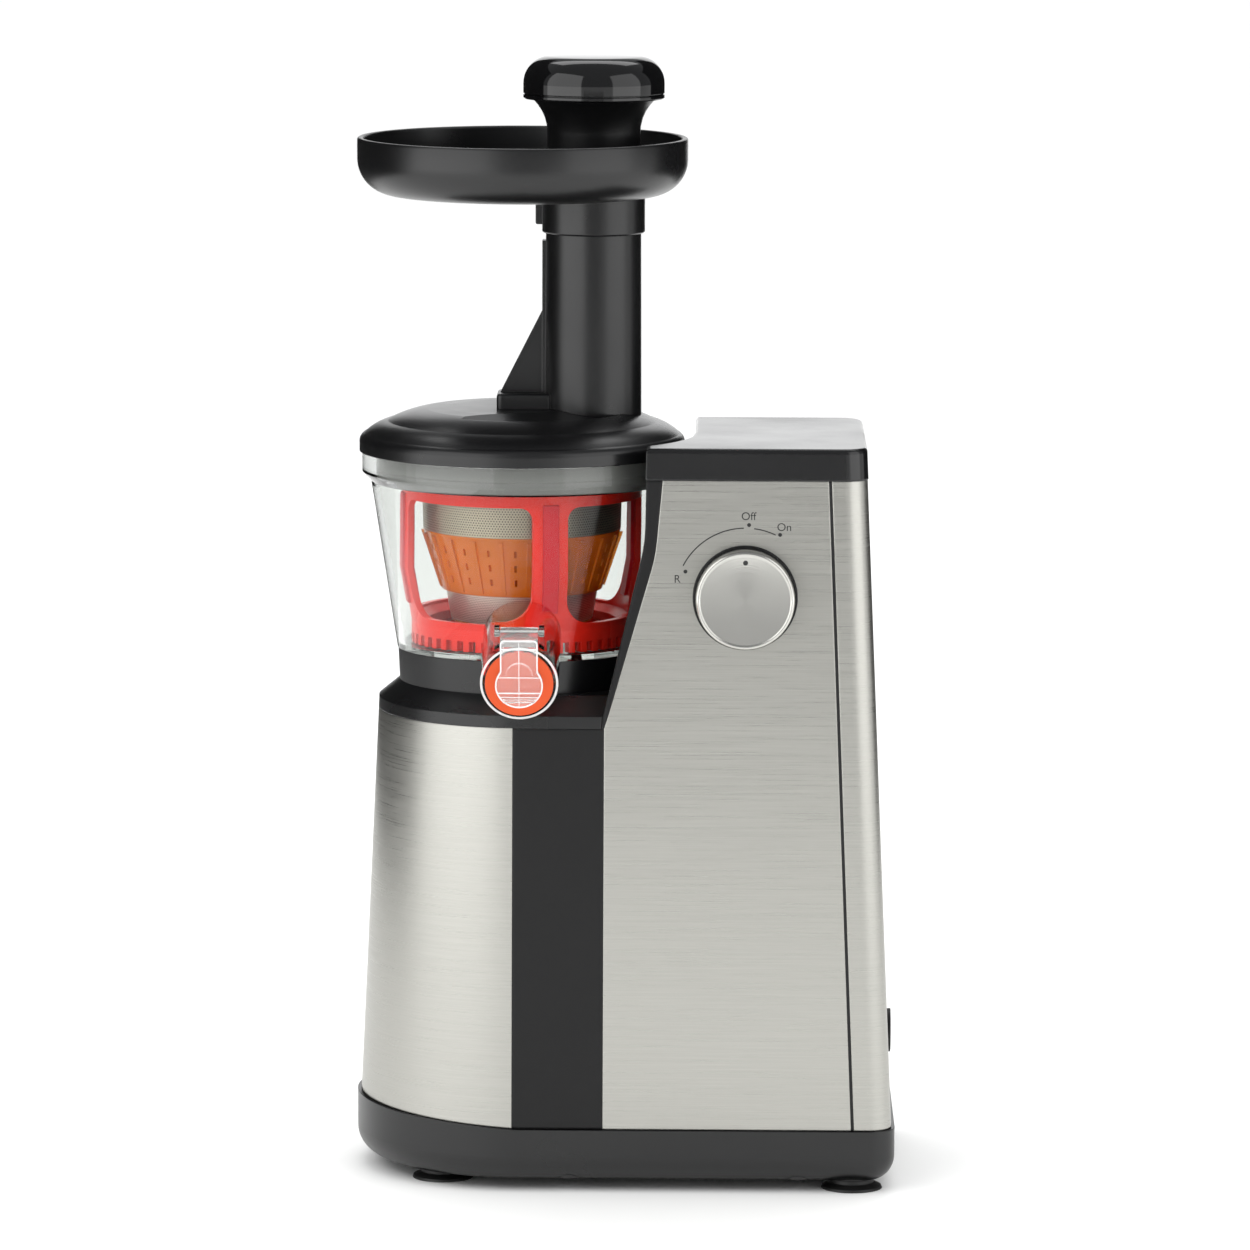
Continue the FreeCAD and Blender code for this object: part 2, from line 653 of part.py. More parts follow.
duct_slot = box(-DUCT_HALF_WIDTH - DUCT_WALL - 1, DUCT_HALF_WIDTH + DUCT_WALL + 1, 0, far, DECK_Z,
                BOWL_FLOOR_Z + 1)
seat_outer = Part.makeCone(DECK_TOP_RADIUS, SEAT_RING_TOP_RADIUS, SEAT_RING_HEIGHT, V(0, 0, DECK_Z), UP)
seat_ring = seat_outer.cut(cylinder(DECK_TOP_RADIUS - SEAT_RING_WALL, DECK_Z - 1,
                                    BOWL_FLOOR_Z + 1)).cut(duct_slot)
save("bowl_seat_ring", seat_ring)

# Gears: flanks follow an involute through three points


def involute(angle):
    return tan(angle) - angle


def flank_angle(teeth, module, radius, slack):
    """Half of a tooth's angle at a radius."""
    pitch = module * teeth / 2
    base = pitch * cos(radians(PRESSURE_ANGLE))
    at_pitch = pi / (2 * teeth) + slack / (2 * pitch)
    here = acos(base / max(radius, base))
    return at_pitch + involute(radians(PRESSURE_ANGLE)) - involute(here)


def gear_outline(teeth, module, inner, outer, slack, phase):
    pitch = module * teeth / 2
    radii = [inner, pitch, outer]
    points = []
    for i in range(teeth):
        middle = 2 * pi * i / teeth + radians(phase)
        rise = [(r, middle - flank_angle(teeth, module, r, slack)) for r in radii]
        fall = [(r, middle + flank_angle(teeth, module, r, slack)) for r in reversed(radii)]
        points += [(r * cos(a), r * sin(a)) for r, a in rise + fall]
    return points


def gear(teeth, module, low, high, phase=0.0):
    """A spur gear whose first tooth points at the phase angle."""
    pitch = module * teeth / 2
    outline = gear_outline(teeth, module, pitch - DEDENDUM * module, pitch + ADDENDUM * module,
                           -BACKLASH / 2, phase)
    points = [V(x, y, low) for x, y in outline]
    return Part.Face(Part.makePolygon(points + points[:1])).extrude(V(0, 0, high - low))


# Bowl: clear shell with a banded rim, a chimney round the drive shaft, the spout and the pulp duct

floor_top = BOWL_FLOOR_Z + BOWL_FLOOR_THICKNESS
IDLER_CENTRE = BOWL_MODULE * (SUN_TEETH + IDLER_TEETH) / 2
IDLER_PIN_RADIUS = 3.0
gear_low = floor_top + FLOOR_FIT
gear_high = BRUSH_BAND_Z
locating_depth = 4.0
locating_radius = DECK_TOP_RADIUS - SEAT_RING_WALL - 0.4
bowl_profile = [
    (CHIMNEY_BORE, BOWL_FLOOR_Z - 2),
    (CHIMNEY_RADIUS, BOWL_FLOOR_Z - 2),
    (CHIMNEY_RADIUS, BOWL_FLOOR_Z),
    (locating_radius - 2, BOWL_FLOOR_Z),
    (locating_radius - 2, BOWL_FLOOR_Z - locating_depth),
    (locating_radius, BOWL_FLOOR_Z - locating_depth),
    (locating_radius, BOWL_FLOOR_Z),
    (BOWL_LOW_RADIUS, BOWL_FLOOR_Z),
    (BOWL_HIGH_RADIUS, BOWL_SHOULDER_Z),
    (BOWL_BAND_RADIUS - 0.6, BOWL_BAND_Z),
    (BOWL_BAND_RADIUS, BOWL_BAND_Z + 0.8),
    (BOWL_BAND_RADIUS, BOWL_TOP_Z),
    (BOWL_MOUTH_RADIUS, BOWL_TOP_Z),
    (BOWL_MOUTH_RADIUS, BOWL_SHOULDER_Z + 1),
    (BOWL_HIGH_RADIUS - BOWL_WALL, BOWL_SHOULDER_Z - 1.5),
    (BOWL_LOW_RADIUS - BOWL_WALL, floor_top),
    (CHIMNEY_RADIUS, floor_top),
    (CHIMNEY_RADIUS, CHIMNEY_TOP_Z),
    (CHIMNEY_BORE, CHIMNEY_TOP_Z),
]
bowl = turned(bowl_profile)


spout_run = V(0, -cos(radians(SPOUT_TILT)), -sin(radians(SPOUT_TILT)))
spout_up = V(0, -sin(radians(SPOUT_TILT)), cos(radians(SPOUT_TILT)))
spout_root = V(SPOUT_X, -SPOUT_ROOT_Y, SPOUT_ROOT_Z)
spout_mouth = spout_root.add(spout_run * SPOUT_LENGTH)
spout_start = spout_root.sub(spout_run * 12)
bowl_plug = turned([(0, BOWL_FLOOR_Z - 8), (BOWL_LOW_RADIUS, BOWL_FLOOR_Z - 8),
                    (BOWL_LOW_RADIUS, BOWL_FLOOR_Z),
                    (BOWL_HIGH_RADIUS, BOWL_SHOULDER_Z), (0, BOWL_SHOULDER_Z)])
seat_clearance = turned([(0, DECK_Z), (SEAT_RING_TOP_RADIUS + GAP + 0.2, DECK_Z),
                         (SEAT_RING_TOP_RADIUS + GAP + 0.2, BOWL_FLOOR_Z), (0, BOWL_FLOOR_Z)])
spout_tube = rod(SPOUT_RADIUS, spout_start, spout_mouth).cut(bowl_plug).cut(seat_clearance)
bowl = bowl.fuse(spout_tube)
above_floor = box(-far, far, -far, far, floor_top, BOWL_TOP_Z)
spout_bore = rod(SPOUT_BORE, spout_root.sub(spout_run * 30), spout_mouth.add(spout_run * OVERCUT))
outside_bowl = spout_bore.cut(bowl_plug)
inside_bowl = spout_bore.common(bowl_plug).common(above_floor).cut(cylinder(BOWL_LOW_RADIUS - 8, 0,
                                                                            BOWL_TOP_Z))
bowl = bowl.cut(outside_bowl).cut(inside_bowl)

# Hinge ears of the drip-stop lever, on top of the spout's mouth

hinge = spout_mouth.sub(spout_run * HINGE_BACK).add(spout_up * (SPOUT_RADIUS + HINGE_RISE))
hinge_y = hinge.y
hinge_z = hinge.z
for side in (-1, 1):
    inner_x = SPOUT_X + side * EAR_GAP
    outer_x = SPOUT_X + side * (EAR_GAP + EAR_THICKNESS)
    left_x = min(inner_x, outer_x)
    ear = Part.makeCylinder(EAR_RADIUS, EAR_THICKNESS, V(left_x, hinge_y, hinge_z), V(1, 0, 0))
    foot = Part.makeBox(EAR_THICKNESS, 2 * EAR_RADIUS, EAR_RADIUS + HINGE_RISE + 3)
    foot.rotate(V(0, 0, 0), V(1, 0, 0), SPOUT_TILT)
    foot.translate(V(left_x, hinge_y,
                     hinge_z).add(spout_run * EAR_RADIUS).sub(spout_up * (EAR_RADIUS + HINGE_RISE + 3)))
    ear = ear.fuse(foot).cut(spout_bore)
    bowl = bowl.fuse(ear)
pin_hole = Part.makeCylinder(HINGE_PIN_RADIUS, 2 * (EAR_GAP + EAR_THICKNESS) + 2,
                             V(SPOUT_X - EAR_GAP - EAR_THICKNESS - 1, hinge_y, hinge_z), V(1, 0, 0))
bowl = bowl.cut(pin_hole)
juice_cap_pin = Part.makeCylinder(HINGE_PIN_RADIUS, 2 * (EAR_GAP + EAR_THICKNESS),
                                  V(SPOUT_X - EAR_GAP - EAR_THICKNESS, hinge_y, hinge_z), V(1, 0, 0))
save("juice_cap_pin", juice_cap_pin)

# Pulp duct: level under the floor, then sloping down outside the bowl

duct_top = floor_top
duct_low = DECK_Z + 0.6
duct_fall = tan(radians(DUCT_TILT))
lever_tip = spout_mouth.add(spout_up * LEVER_TOP).add(spout_run * (PLUG_FACE + LEVER_THICKNESS))
DUCT_END_Y = -lever_tip.y
duct_end_drop = (DUCT_END_Y - DUCT_BEND_Y) * duct_fall
duct_outer = [
    (DUCT_START_Y - DUCT_WALL, duct_low),
    (DUCT_BEND_Y, duct_low),
    (DUCT_END_Y, duct_low - duct_end_drop),
    (DUCT_END_Y, duct_top + DUCT_HEAD - duct_end_drop),
    (DUCT_BEND_Y, duct_top + DUCT_HEAD),
    (BOWL_LOW_RADIUS - 4, duct_top + DUCT_HEAD),
    (BOWL_LOW_RADIUS - 4, duct_top),
    (DUCT_START_Y - DUCT_WALL, duct_top),
]
duct_inner = [
    (DUCT_START_Y, duct_low + DUCT_WALL),
    (DUCT_BEND_Y + DUCT_WALL * tan(radians(DUCT_TILT / 2)), duct_low + DUCT_WALL),
    (DUCT_END_Y + 1, duct_low + DUCT_WALL - duct_end_drop - duct_fall),
    (DUCT_END_Y + 1, duct_top + DUCT_HEAD - DUCT_WALL - duct_end_drop - duct_fall),
    (DUCT_BEND_Y, duct_top + DUCT_HEAD - DUCT_WALL),
    (BOWL_LOW_RADIUS + 1.2, duct_top + DUCT_HEAD - DUCT_WALL),
    (BOWL_LOW_RADIUS + 1.2, duct_top - BOWL_FLOOR_THICKNESS),
    (DUCT_START_Y, duct_top - BOWL_FLOOR_THICKNESS),
]
duct_shell = plate_yz(duct_outer, -DUCT_HALF_WIDTH - DUCT_WALL, DUCT_HALF_WIDTH + DUCT_WALL)
inner_wall = turned([(0, floor_top), (BOWL_LOW_RADIUS - BOWL_WALL, floor_top),
                     (BOWL_HIGH_RADIUS - BOWL_WALL, BOWL_SHOULDER_Z - 1.5), (0, BOWL_SHOULDER_Z - 1.5)])
duct_core = plate_yz(duct_inner, -DUCT_HALF_WIDTH, DUCT_HALF_WIDTH)
core_outside = duct_core.cut(bowl_plug.common(box(-far, far, 0, far, BOWL_FLOOR_Z, BOWL_TOP_Z)))
port_far_y = PULP_PORT_START_Y + PULP_PORT_LENGTH
sleeve_x = PULP_PORT_HALF_WIDTH + PULP_SLEEVE_WALL
sleeve_near = PULP_PORT_START_Y - PULP_SLEEVE_WALL
sleeve_far = port_far_y + PULP_SLEEVE_WALL
sleeve = box(-sleeve_x, sleeve_x, sleeve_near, sleeve_far, floor_top, STRAINER_BASE_Z)
front_rest = box(-sleeve_x, sleeve_x, -sleeve_far, -sleeve_near, floor_top, STRAINER_BASE_Z)
port = box(-PULP_PORT_HALF_WIDTH, PULP_PORT_HALF_WIDTH, PULP_PORT_START_Y, port_far_y,
           BOWL_FLOOR_Z - 1, STRAINER_BASE_Z + 1)
bowl = bowl.fuse(sleeve).fuse(front_rest).cut(core_outside).cut(port)
pulp_duct = duct_shell.cut(inner_wall).cut(duct_core).cut(bowl).cut(port)

# Idler pins stand in blind holes in the floor

idler_pins = []
pin_low = floor_top - 1.2
for side in (-1, 1):
    idler_pins.append(cylinder(IDLER_PIN_RADIUS, pin_low, gear_high + 1, side * IDLER_CENTRE, 0))
    bowl = bowl.cut(cylinder(IDLER_PIN_RADIUS, pin_low, floor_top + 1, side * IDLER_CENTRE, 0))
save("juicing_bowl", bowl)
save("pulp_duct", pulp_duct)
save("idler_pins", Part.makeCompound(idler_pins))
hub_seal = tube(CHIMNEY_BORE, SHAFT_RADIUS + RUN_FIT, BOWL_FLOOR_Z - 1, BOWL_FLOOR_Z + 3)
save("bowl_hub_seal", hub_seal)

# Damper: a silicone plug in the end of the pulp duct, hung from its roof

damper_y = DUCT_END_Y - 10.0
damper_drop = (damper_y - DUCT_BEND_Y) * duct_fall
damper = plate_yz([
    (damper_y, duct_low + DUCT_WALL - damper_drop + 3.5),
    (damper_y + 4, duct_low + DUCT_WALL - damper_drop + 1.5),
    (damper_y + 4, duct_top + DUCT_HEAD - DUCT_WALL - damper_drop - 4 * duct_fall),
    (damper_y, duct_top + DUCT_HEAD - DUCT_WALL - damper_drop),
], -DUCT_HALF_WIDTH + 1, DUCT_HALF_WIDTH - 1)
save("pulp_damper", damper)

# Idler gears, one each side of the sun gear

idler_pitch = 360.0 / IDLER_TEETH
ring_pitch = 360.0 / RING_TEETH
for side, name in ((-1, "idler_gear_left"), (1, "idler_gear_right")):
    idler = gear(IDLER_TEETH, BOWL_MODULE, gear_low, gear_high - FLOOR_FIT, idler_pitch / 2)
    idler = idler.cut(cylinder(IDLER_PIN_RADIUS + RUN_FIT, gear_low - 1, gear_high + 1))
    idler.translate(V(side * IDLER_CENTRE, 0, 0))
    save(name, idler)

# Strainer: an amber frame with a slotted, ribbed band, and steel mesh laid on it above and below


def strainer_line(inset):
    """The strainer's outside line without the band's lip, moved inwards."""
    return [
        (STRAINER_LOW_RADIUS - inset, STRAINER_BASE_Z),
        (STRAINER_NECK_RADIUS - inset, STRAINER_WAIST_Z),
        (STRAINER_BAND_RADIUS - inset, STRAINER_BAND_TOP_Z),
        (STRAINER_MESH_TOP_RADIUS - inset, STRAINER_MESH_TOP_Z),
    ]


def line_radius(line, z):
    """Radius of a line of (radius, height) points at a height."""
    for (r0, z0), (r1, z1) in zip(line, line[1:]):
        if z <= z1:
            return r0 + (r1 - r0) * (z - z0) / (z1 - z0)
    return line[-1][0]


rim_top = STRAINER_MESH_TOP_Z + STRAINER_RIM_HEIGHT
outer_line = strainer_line(0)
outer_line.insert(2, (STRAINER_WAIST_RADIUS, STRAINER_WAIST_Z))
inner_line = strainer_line(STRAINER_THICKNESS)
base_thickness = 2.0
base_hole = 17.4
strainer_solid = turned(outer_line + [(STRAINER_RIM_RADIUS, STRAINER_MESH_TOP_Z + 1),
                                      (STRAINER_RIM_RADIUS, rim_top)]
                        + [(inner_line[3][0], rim_top)] + inner_line[:0:-1]
                        + [(line_radius(inner_line, STRAINER_BASE_Z + base_thickness),
                            STRAINER_BASE_Z + base_thickness),
                           (base_hole, STRAINER_BASE_Z + base_thickness), (base_hole, STRAINER_BASE_Z)])
mesh_margin = 0.6


def mesh_shell(low, high):
    """The outer layer of the strainer's wall between two heights."""
    outer = [(line_radius(strainer_line(0), z), z) for z in (low, high)]
    inner = [(line_radius(strainer_line(MESH_THICKNESS), z), z) for z in (high, low)]
    return turned(outer + inner)


lower_mesh = mesh_shell(STRAINER_BASE_Z + mesh_margin, STRAINER_WAIST_Z)
upper_mesh = mesh_shell(STRAINER_BAND_TOP_Z + mesh_margin, STRAINER_MESH_TOP_Z)
strainer_posts = 3
post_half_angle = 5.0


def sector(radius, low, high, first, last):
    """A wedge of a disc between two angles, for cutting windows."""
    start = V(radius * cos(radians(first)), radius * sin(radians(first)), low)
    end = V(radius * cos(radians(last)), radius * sin(radians(last)), low)
    mid_angle = radians((first + last) / 2)
    middle = V(radius * cos(mid_angle), radius * sin(mid_angle), low)
    centre = V(0, 0, low)
    edges = [Part.LineSegment(centre, start).toShape(), Part.Arc(start, middle, end).toShape(),
             Part.LineSegment(end, centre).toShape()]
    return Part.Face(Part.Wire(edges)).extrude(V(0, 0, high - low))


strainer_frame = strainer_solid.cut(lower_mesh).cut(upper_mesh)
lower_window_z = (STRAINER_BASE_Z + base_thickness + 1, STRAINER_WAIST_Z - 2)
upper_window_z = (STRAINER_BAND_TOP_Z + 2, STRAINER_MESH_TOP_Z - 1.5)
for low, high in (lower_window_z, upper_window_z):
    for i in range(strainer_posts):
        first = BRUSH_FIRST_POST + 360.0 * i / strainer_posts + post_half_angle
        last = first + 360.0 / strainer_posts - 2 * post_half_angle
        strainer_frame = strainer_frame.cut(sector(STRAINER_RIM_RADIUS + OVERCUT, low, high, first, last))
rib = plate_xz([
    (STRAINER_WAIST_RADIUS - 1, STRAINER_WAIST_Z + 1),
    (STRAINER_WAIST_RADIUS + RIB_PROUD, STRAINER_WAIST_Z + 1),
    (STRAINER_BAND_RADIUS + RIB_PROUD, STRAINER_BAND_TOP_Z - 1),
    (STRAINER_BAND_RADIUS - 1, STRAINER_BAND_TOP_Z - 1),
], -RIB_WIDTH / 2, RIB_WIDTH / 2)
column_pitch = 360.0 / SLOT_COLUMNS
ribs = ring_of(rib, SLOT_COLUMNS, -92.4 + column_pitch / 2)
strainer_frame = strainer_frame.multiFuse(ribs)
slots = []
slot_middle = (STRAINER_WAIST_Z + STRAINER_BAND_TOP_Z) / 2
for row in range(SLOT_ROWS):
    z = slot_middle + (row - (SLOT_ROWS - 1) / 2) * SLOT_PITCH
    slot = box(STRAINER_WAIST_RADIUS - 6, STRAINER_BAND_RADIUS + 6, -SLOT_WIDTH / 2, SLOT_WIDTH / 2,
               z - SLOT_HEIGHT / 2, z + SLOT_HEIGHT / 2)
    slots += ring_of(slot, SLOT_COLUMNS, -92.4)
strainer_frame = strainer_frame.cut(Part.makeCompound(slots))
pulp_hole = box(-PULP_PORT_HALF_WIDTH + 1, PULP_PORT_HALF_WIDTH - 1, PULP_PORT_START_Y + 0.5, port_far_y - 5,
                STRAINER_BASE_Z - 1, STRAINER_BASE_Z + base_thickness + 0.5)
strainer_frame = strainer_frame.cut(pulp_hole)
save("strainer_frame", strainer_frame)
save("strainer_mesh_lower", lower_mesh)
save("strainer_mesh_upper", upper_mesh)

# Auger: a hollow cone with a helical flight, a sun gear below and a pin above

auger_low = gear_low
neck_z = STRAINER_BASE_Z + base_thickness + 0.6
sun_tip = BOWL_MODULE * (SUN_TEETH / 2 + ADDENDUM)
auger_mid_z = STRAINER_BAND_TOP_Z
auger_core = turned([
    (0, gear_high + 1), (sun_tip, gear_high + 1), (sun_tip, neck_z), (AUGER_FOOT_RADIUS, neck_z + 0.8),
    (AUGER_CORE_MID_RADIUS, auger_mid_z), (AUGER_CORE_TOP_RADIUS, AUGER_TOP_Z - 4),
    (AUGER_CORE_TOP_RADIUS - 2, AUGER_TOP_Z), (0, AUGER_TOP_Z),
])
sweep_line = strainer_line(STRAINER_THICKNESS + AUGER_CLEARANCE)
sweep_low = neck_z + 0.8
sweep_zone = turned([(0, sweep_low), (line_radius(sweep_line, sweep_low), sweep_low)] + sweep_line[1:]
                    + [(sweep_line[3][0], AUGER_TOP_Z - 2), (0, AUGER_TOP_Z - 2)])
flight_height = AUGER_TOP_Z + FLIGHT_PITCH / 2 - sweep_low
flight_core = 8.0
helix = Part.makeHelix(FLIGHT_PITCH, flight_height, flight_core)
flight_reach = STRAINER_MESH_TOP_RADIUS
flight_section = Part.makePolygon([
    V(flight_core, 0, -FLIGHT_THICKNESS / 2 - 0.8), V(flight_reach, 0, -FLIGHT_THICKNESS / 2 + 0.8),
    V(flight_reach, 0, FLIGHT_THICKNESS / 2 - 0.8), V(flight_core, 0, FLIGHT_THICKNESS / 2 + 0.8),
    V(flight_core, 0, -FLIGHT_THICKNESS / 2 - 0.8),
])
flight = Part.Wire(helix.Edges).makePipeShell([flight_section], True, True)
flight.translate(V(0, 0, sweep_low - FLIGHT_PITCH / 4))
auger = auger_core.fuse(flight.common(sweep_zone))
fin_count = 10
fin_high = STRAINER_WAIST_Z + 8
fin = box(AUGER_CORE_MID_RADIUS, STRAINER_BAND_RADIUS, -0.9, 0.9, sweep_low, fin_high)
fin.rotate(V(AUGER_FOOT_RADIUS, 0, sweep_low), V(1, 0, 0), -20)
auger = auger.multiFuse([f.common(sweep_zone) for f in ring_of(fin, fin_count)])
auger = auger.fuse(gear(SUN_TEETH, BOWL_MODULE, auger_low, gear_high + 1))
chimney_play = 0.5
auger = auger.cut(cylinder(CHIMNEY_RADIUS + chimney_play, auger_low - 1, CHIMNEY_TOP_Z + chimney_play))
auger = auger.cut(hexagon(HEX_ACROSS_FLATS + 2 * HEX_CLEARANCE, CHIMNEY_TOP_Z, HEX_TOP_Z))
pin_seat_z = AUGER_TOP_Z - 6
auger = auger.cut(cylinder(PIN_RADIUS, pin_seat_z, AUGER_TOP_Z + 1))
auger_pin = cylinder(PIN_RADIUS, pin_seat_z, AUGER_TOP_Z + PIN_LENGTH)
auger_pin = auger_pin.makeChamfer(0.8, [e for e in auger_pin.Edges if e.BoundBox.ZMin > AUGER_TOP_Z + 1])
save("auger", auger)
save("auger_top_pin", auger_pin)

# Brush cage: red, four posts, an internal gear below; the teeth hang from the band as open blocks

brush_outer = [
    (BRUSH_RING_RADIUS, BRUSH_BAND_Z), (BRUSH_RING_RADIUS, BRUSH_BAND_TOP_Z),
    (BRUSH_RADIUS, BRUSH_KNEE_Z), (BRUSH_RADIUS, BRUSH_TOP_Z),
]
ring_pitch_radius = BOWL_MODULE * RING_TEETH / 2
ring_tip_radius = ring_pitch_radius - ADDENDUM * BOWL_MODULE
band_inner = ring_tip_radius - 0.6
brush_shell = turned(brush_outer + [
    (BRUSH_RADIUS - BRUSH_THICKNESS, BRUSH_TOP_Z), (BRUSH_RADIUS - BRUSH_THICKNESS, BRUSH_KNEE_Z),
    (BRUSH_RING_RADIUS - BRUSH_THICKNESS, BRUSH_BAND_TOP_Z + 1.5), (band_inner, BRUSH_BAND_TOP_Z - 1),
    (band_inner, BRUSH_BAND_Z),
])
window_low = BRUSH_BAND_TOP_Z + 2.6
window_high = BRUSH_TOP_Z - BRUSH_TOP_RING_HEIGHT
post_angle = 360.0 / BRUSH_POSTS
slab_reach = 2 * BRUSH_RADIUS
beside_post = box(BRUSH_POST_WIDTH / 2, slab_reach, -slab_reach, slab_reach, window_low, window_high)


def slab_edges(z):
    """The edges beside a post at a height."""
    return [e for e in beside_post.Edges if e.BoundBox.YLength > slab_reach
            and e.BoundBox.XMax < BRUSH_POST_WIDTH and abs(e.BoundBox.ZMax - z) < 0.01]


beside_post = beside_post.makeFillet(2 * WINDOW_RADIUS, slab_edges(window_low))
beside_post = beside_post.makeFillet(WINDOW_RADIUS, slab_edges(window_high))
window = spun(beside_post, 90).common(spun(beside_post, post_angle - 90))
brush = brush_shell.cut(Part.makeCompound(ring_of(window, BRUSH_POSTS, BRUSH_FIRST_POST)))
tooth_ring = tube(BRUSH_RING_RADIUS, ring_tip_radius, gear_low, BRUSH_BAND_Z)
hole_radii = [ring_tip_radius, ring_pitch_radius, ring_pitch_radius + DEDENDUM * BOWL_MODULE]
angles = [flank_angle(RING_TEETH, BOWL_MODULE, r, BACKLASH / 2) for r in hole_radii]
gap_half_angle = radians(ring_pitch / 4)
hole_points = []
for i in range(RING_TEETH):
    middle = radians(ring_pitch * (i + 0.5))
    path = list(zip(hole_radii, angles))
    path += [(BRUSH_GAP_RADIUS, gap_half_angle), (BRUSH_RING_RADIUS + 1, gap_half_angle)]
    for r, a in path:
        hole_points.append(V(r * cos(middle - a), r * sin(middle - a), gear_low))
    for r, a in reversed(path):
        hole_points.append(V(r * cos(middle + a), r * sin(middle + a), gear_low))
tooth_outline = Part.makePolygon(hole_points + hole_points[:1])
tooth_hole = Part.Face(tooth_outline).extrude(V(0, 0, BRUSH_BAND_Z - gear_low))
brush = brush.fuse(tooth_ring.cut(tooth_hole))


wiper_low = window_low + WIPER_FOOT
wiper_high = window_high + 1
wiper_outer = [(line_radius(brush_outer, z) + WIPER_PROUD, z) for z in (wiper_low, BRUSH_KNEE_Z, wiper_high)]
wiper_inset = BRUSH_THICKNESS + WIPER_PROUD_INSIDE
wiper_inner = [(line_radius(brush_outer, z) - wiper_inset, z) for z in (wiper_high, BRUSH_KNEE_Z, wiper_low)]
wiper = plate_xz(wiper_outer + wiper_inner, -WIPER_CHANNEL_WIDTH / 2, WIPER_CHANNEL_WIDTH / 2)
wipers = ring_of(wiper, BRUSH_POSTS, BRUSH_FIRST_POST)
for piece in wipers:
    brush = brush.cut(piece)
save("brush_cage", brush)
save("wiper_blades", Part.makeCompound(wipers))

# Drip-stop lever and its plug, drawn straight and then laid on the tilted mouth

def on_mouth(shape):
    """Local Z points out of the mouth, local Y up across it."""
    placed = shape.copy()
    placed.rotate(V(0, 0, 0), V(1, 0, 0), 90 + SPOUT_TILT)
    placed.translate(spout_mouth)
    return placed


hub_height = SPOUT_RADIUS + HINGE_RISE
arm_low = SPOUT_RADIUS + 0.4
plug_radius = SPOUT_BORE - PLUG_CLEARANCE
plug = turned([(0, -PLUG_DEPTH), (PLUG_TAIL_RADIUS, -PLUG_DEPTH), (plug_radius, 0),
               (plug_radius, PLUG_FACE), (0, PLUG_FACE)])
save("juice_cap_seal", on_mouth(plug))
disc = cylinder(LEVER_DISC_RADIUS, PLUG_FACE, PLUG_FACE + LEVER_THICKNESS)
front_arm = box(-LEVER_HALF_WIDTH, LEVER_HALF_WIDTH, 0, LEVER_TOP, PLUG_FACE, PLUG_FACE + LEVER_THICKNESS)
top_arm = box(-LEVER_HALF_WIDTH, LEVER_HALF_WIDTH, arm_low, LEVER_TOP, -HINGE_BACK, PLUG_FACE + 0.1)
hub_radius = hub_height - arm_low
hub = Part.makeCylinder(hub_radius, 2 * LEVER_HALF_WIDTH, V(-LEVER_HALF_WIDTH, hub_height, -HINGE_BACK),
                        V(1, 0, 0))
bore = Part.makeCylinder(HINGE_PIN_RADIUS + LEVER_FIT, 2 * LEVER_HALF_WIDTH + 2,
                         V(-LEVER_HALF_WIDTH - 1, hub_height, -HINGE_BACK), V(1, 0, 0))
grip = box(-LEVER_HALF_WIDTH + 1, LEVER_HALF_WIDTH - 1, -LEVER_DISC_RADIUS + 2.6, -LEVER_DISC_RADIUS + 3.8,
           PLUG_FACE + LEVER_THICKNESS, PLUG_FACE + LEVER_THICKNESS + 1.6)
lever = disc.fuse(front_arm).fuse(top_arm).fuse(hub).fuse(grip).cut(bore)
save("juice_cap", on_mouth(lever))

# Lid: domed shell with a slanted recess and the auger's top bearing. The feed chute is welded on:
# the tube, its gusset and the boss that the gusset stands on

LID_Z = BOWL_TOP_Z + 0.2
lid_outer = lathe([
    (0, LID_Z), (LID_RADIUS, LID_Z), (LID_RADIUS, LID_Z + LID_LIP_HEIGHT),
    (LID_RADIUS - 0.5, LID_SLOPE_Z - 1.4, LID_SLOPE_RADIUS, LID_SLOPE_Z),
    ((LID_SLOPE_RADIUS + LID_SHOULDER_RADIUS) / 2 + 0.4, (LID_SLOPE_Z + LID_SHOULDER_Z) / 2 + 0.5,
     LID_SHOULDER_RADIUS, LID_SHOULDER_Z),
    ((LID_SHOULDER_RADIUS + LID_CROWN_RADIUS) / 2, (LID_SHOULDER_Z + LID_TOP_Z) / 2 + 0.6,
     LID_CROWN_RADIUS, LID_TOP_Z - 0.3),
    (LID_CROWN_RADIUS - 8, LID_TOP_Z), (0, LID_TOP_Z),
])
spigot_outer = BOWL_MOUTH_RADIUS - GAP
spigot_inner = spigot_outer - LID_WALL
lid = lid_outer.fuse(tube(spigot_outer, spigot_inner, LID_Z - LID_SPIGOT_DEPTH, LID_Z + 1))
lid_cavity = turned([(0, LID_Z - 1), (spigot_inner, LID_Z - 1), (spigot_inner, LID_ROOF_Z - 4),
                     (spigot_inner - 9, LID_ROOF_Z), (0, LID_ROOF_Z)])
lid = lid.cut(lid_cavity)
holder_outer = STRAINER_RIM_RADIUS
holder = tube(holder_outer, holder_outer - 2.0, rim_top + GAP, LID_ROOF_Z + 1)
bearing_radius = PIN_RADIUS + BUSH_WALL + 2.4
bearing_low = AUGER_TOP_Z + 8
bearing = cylinder(bearing_radius, bearing_low, LID_ROOF_Z + 1)
lid = lid.fuse(holder).fuse(bearing)
recess_up = RECESS_NORMAL.normalize()
recess_block = Part.makeBox(4 * RECESS_RADIUS, 4 * RECESS_RADIUS, 40,
                            V(-2 * RECESS_RADIUS, -2 * RECESS_RADIUS, 0))
tilt_axis = UP.cross(recess_up)
recess_block.rotate(V(0, 0, 0), tilt_axis, UP.getAngle(recess_up) * 180 / pi)
recess_block.translate(RECESS_POINT)
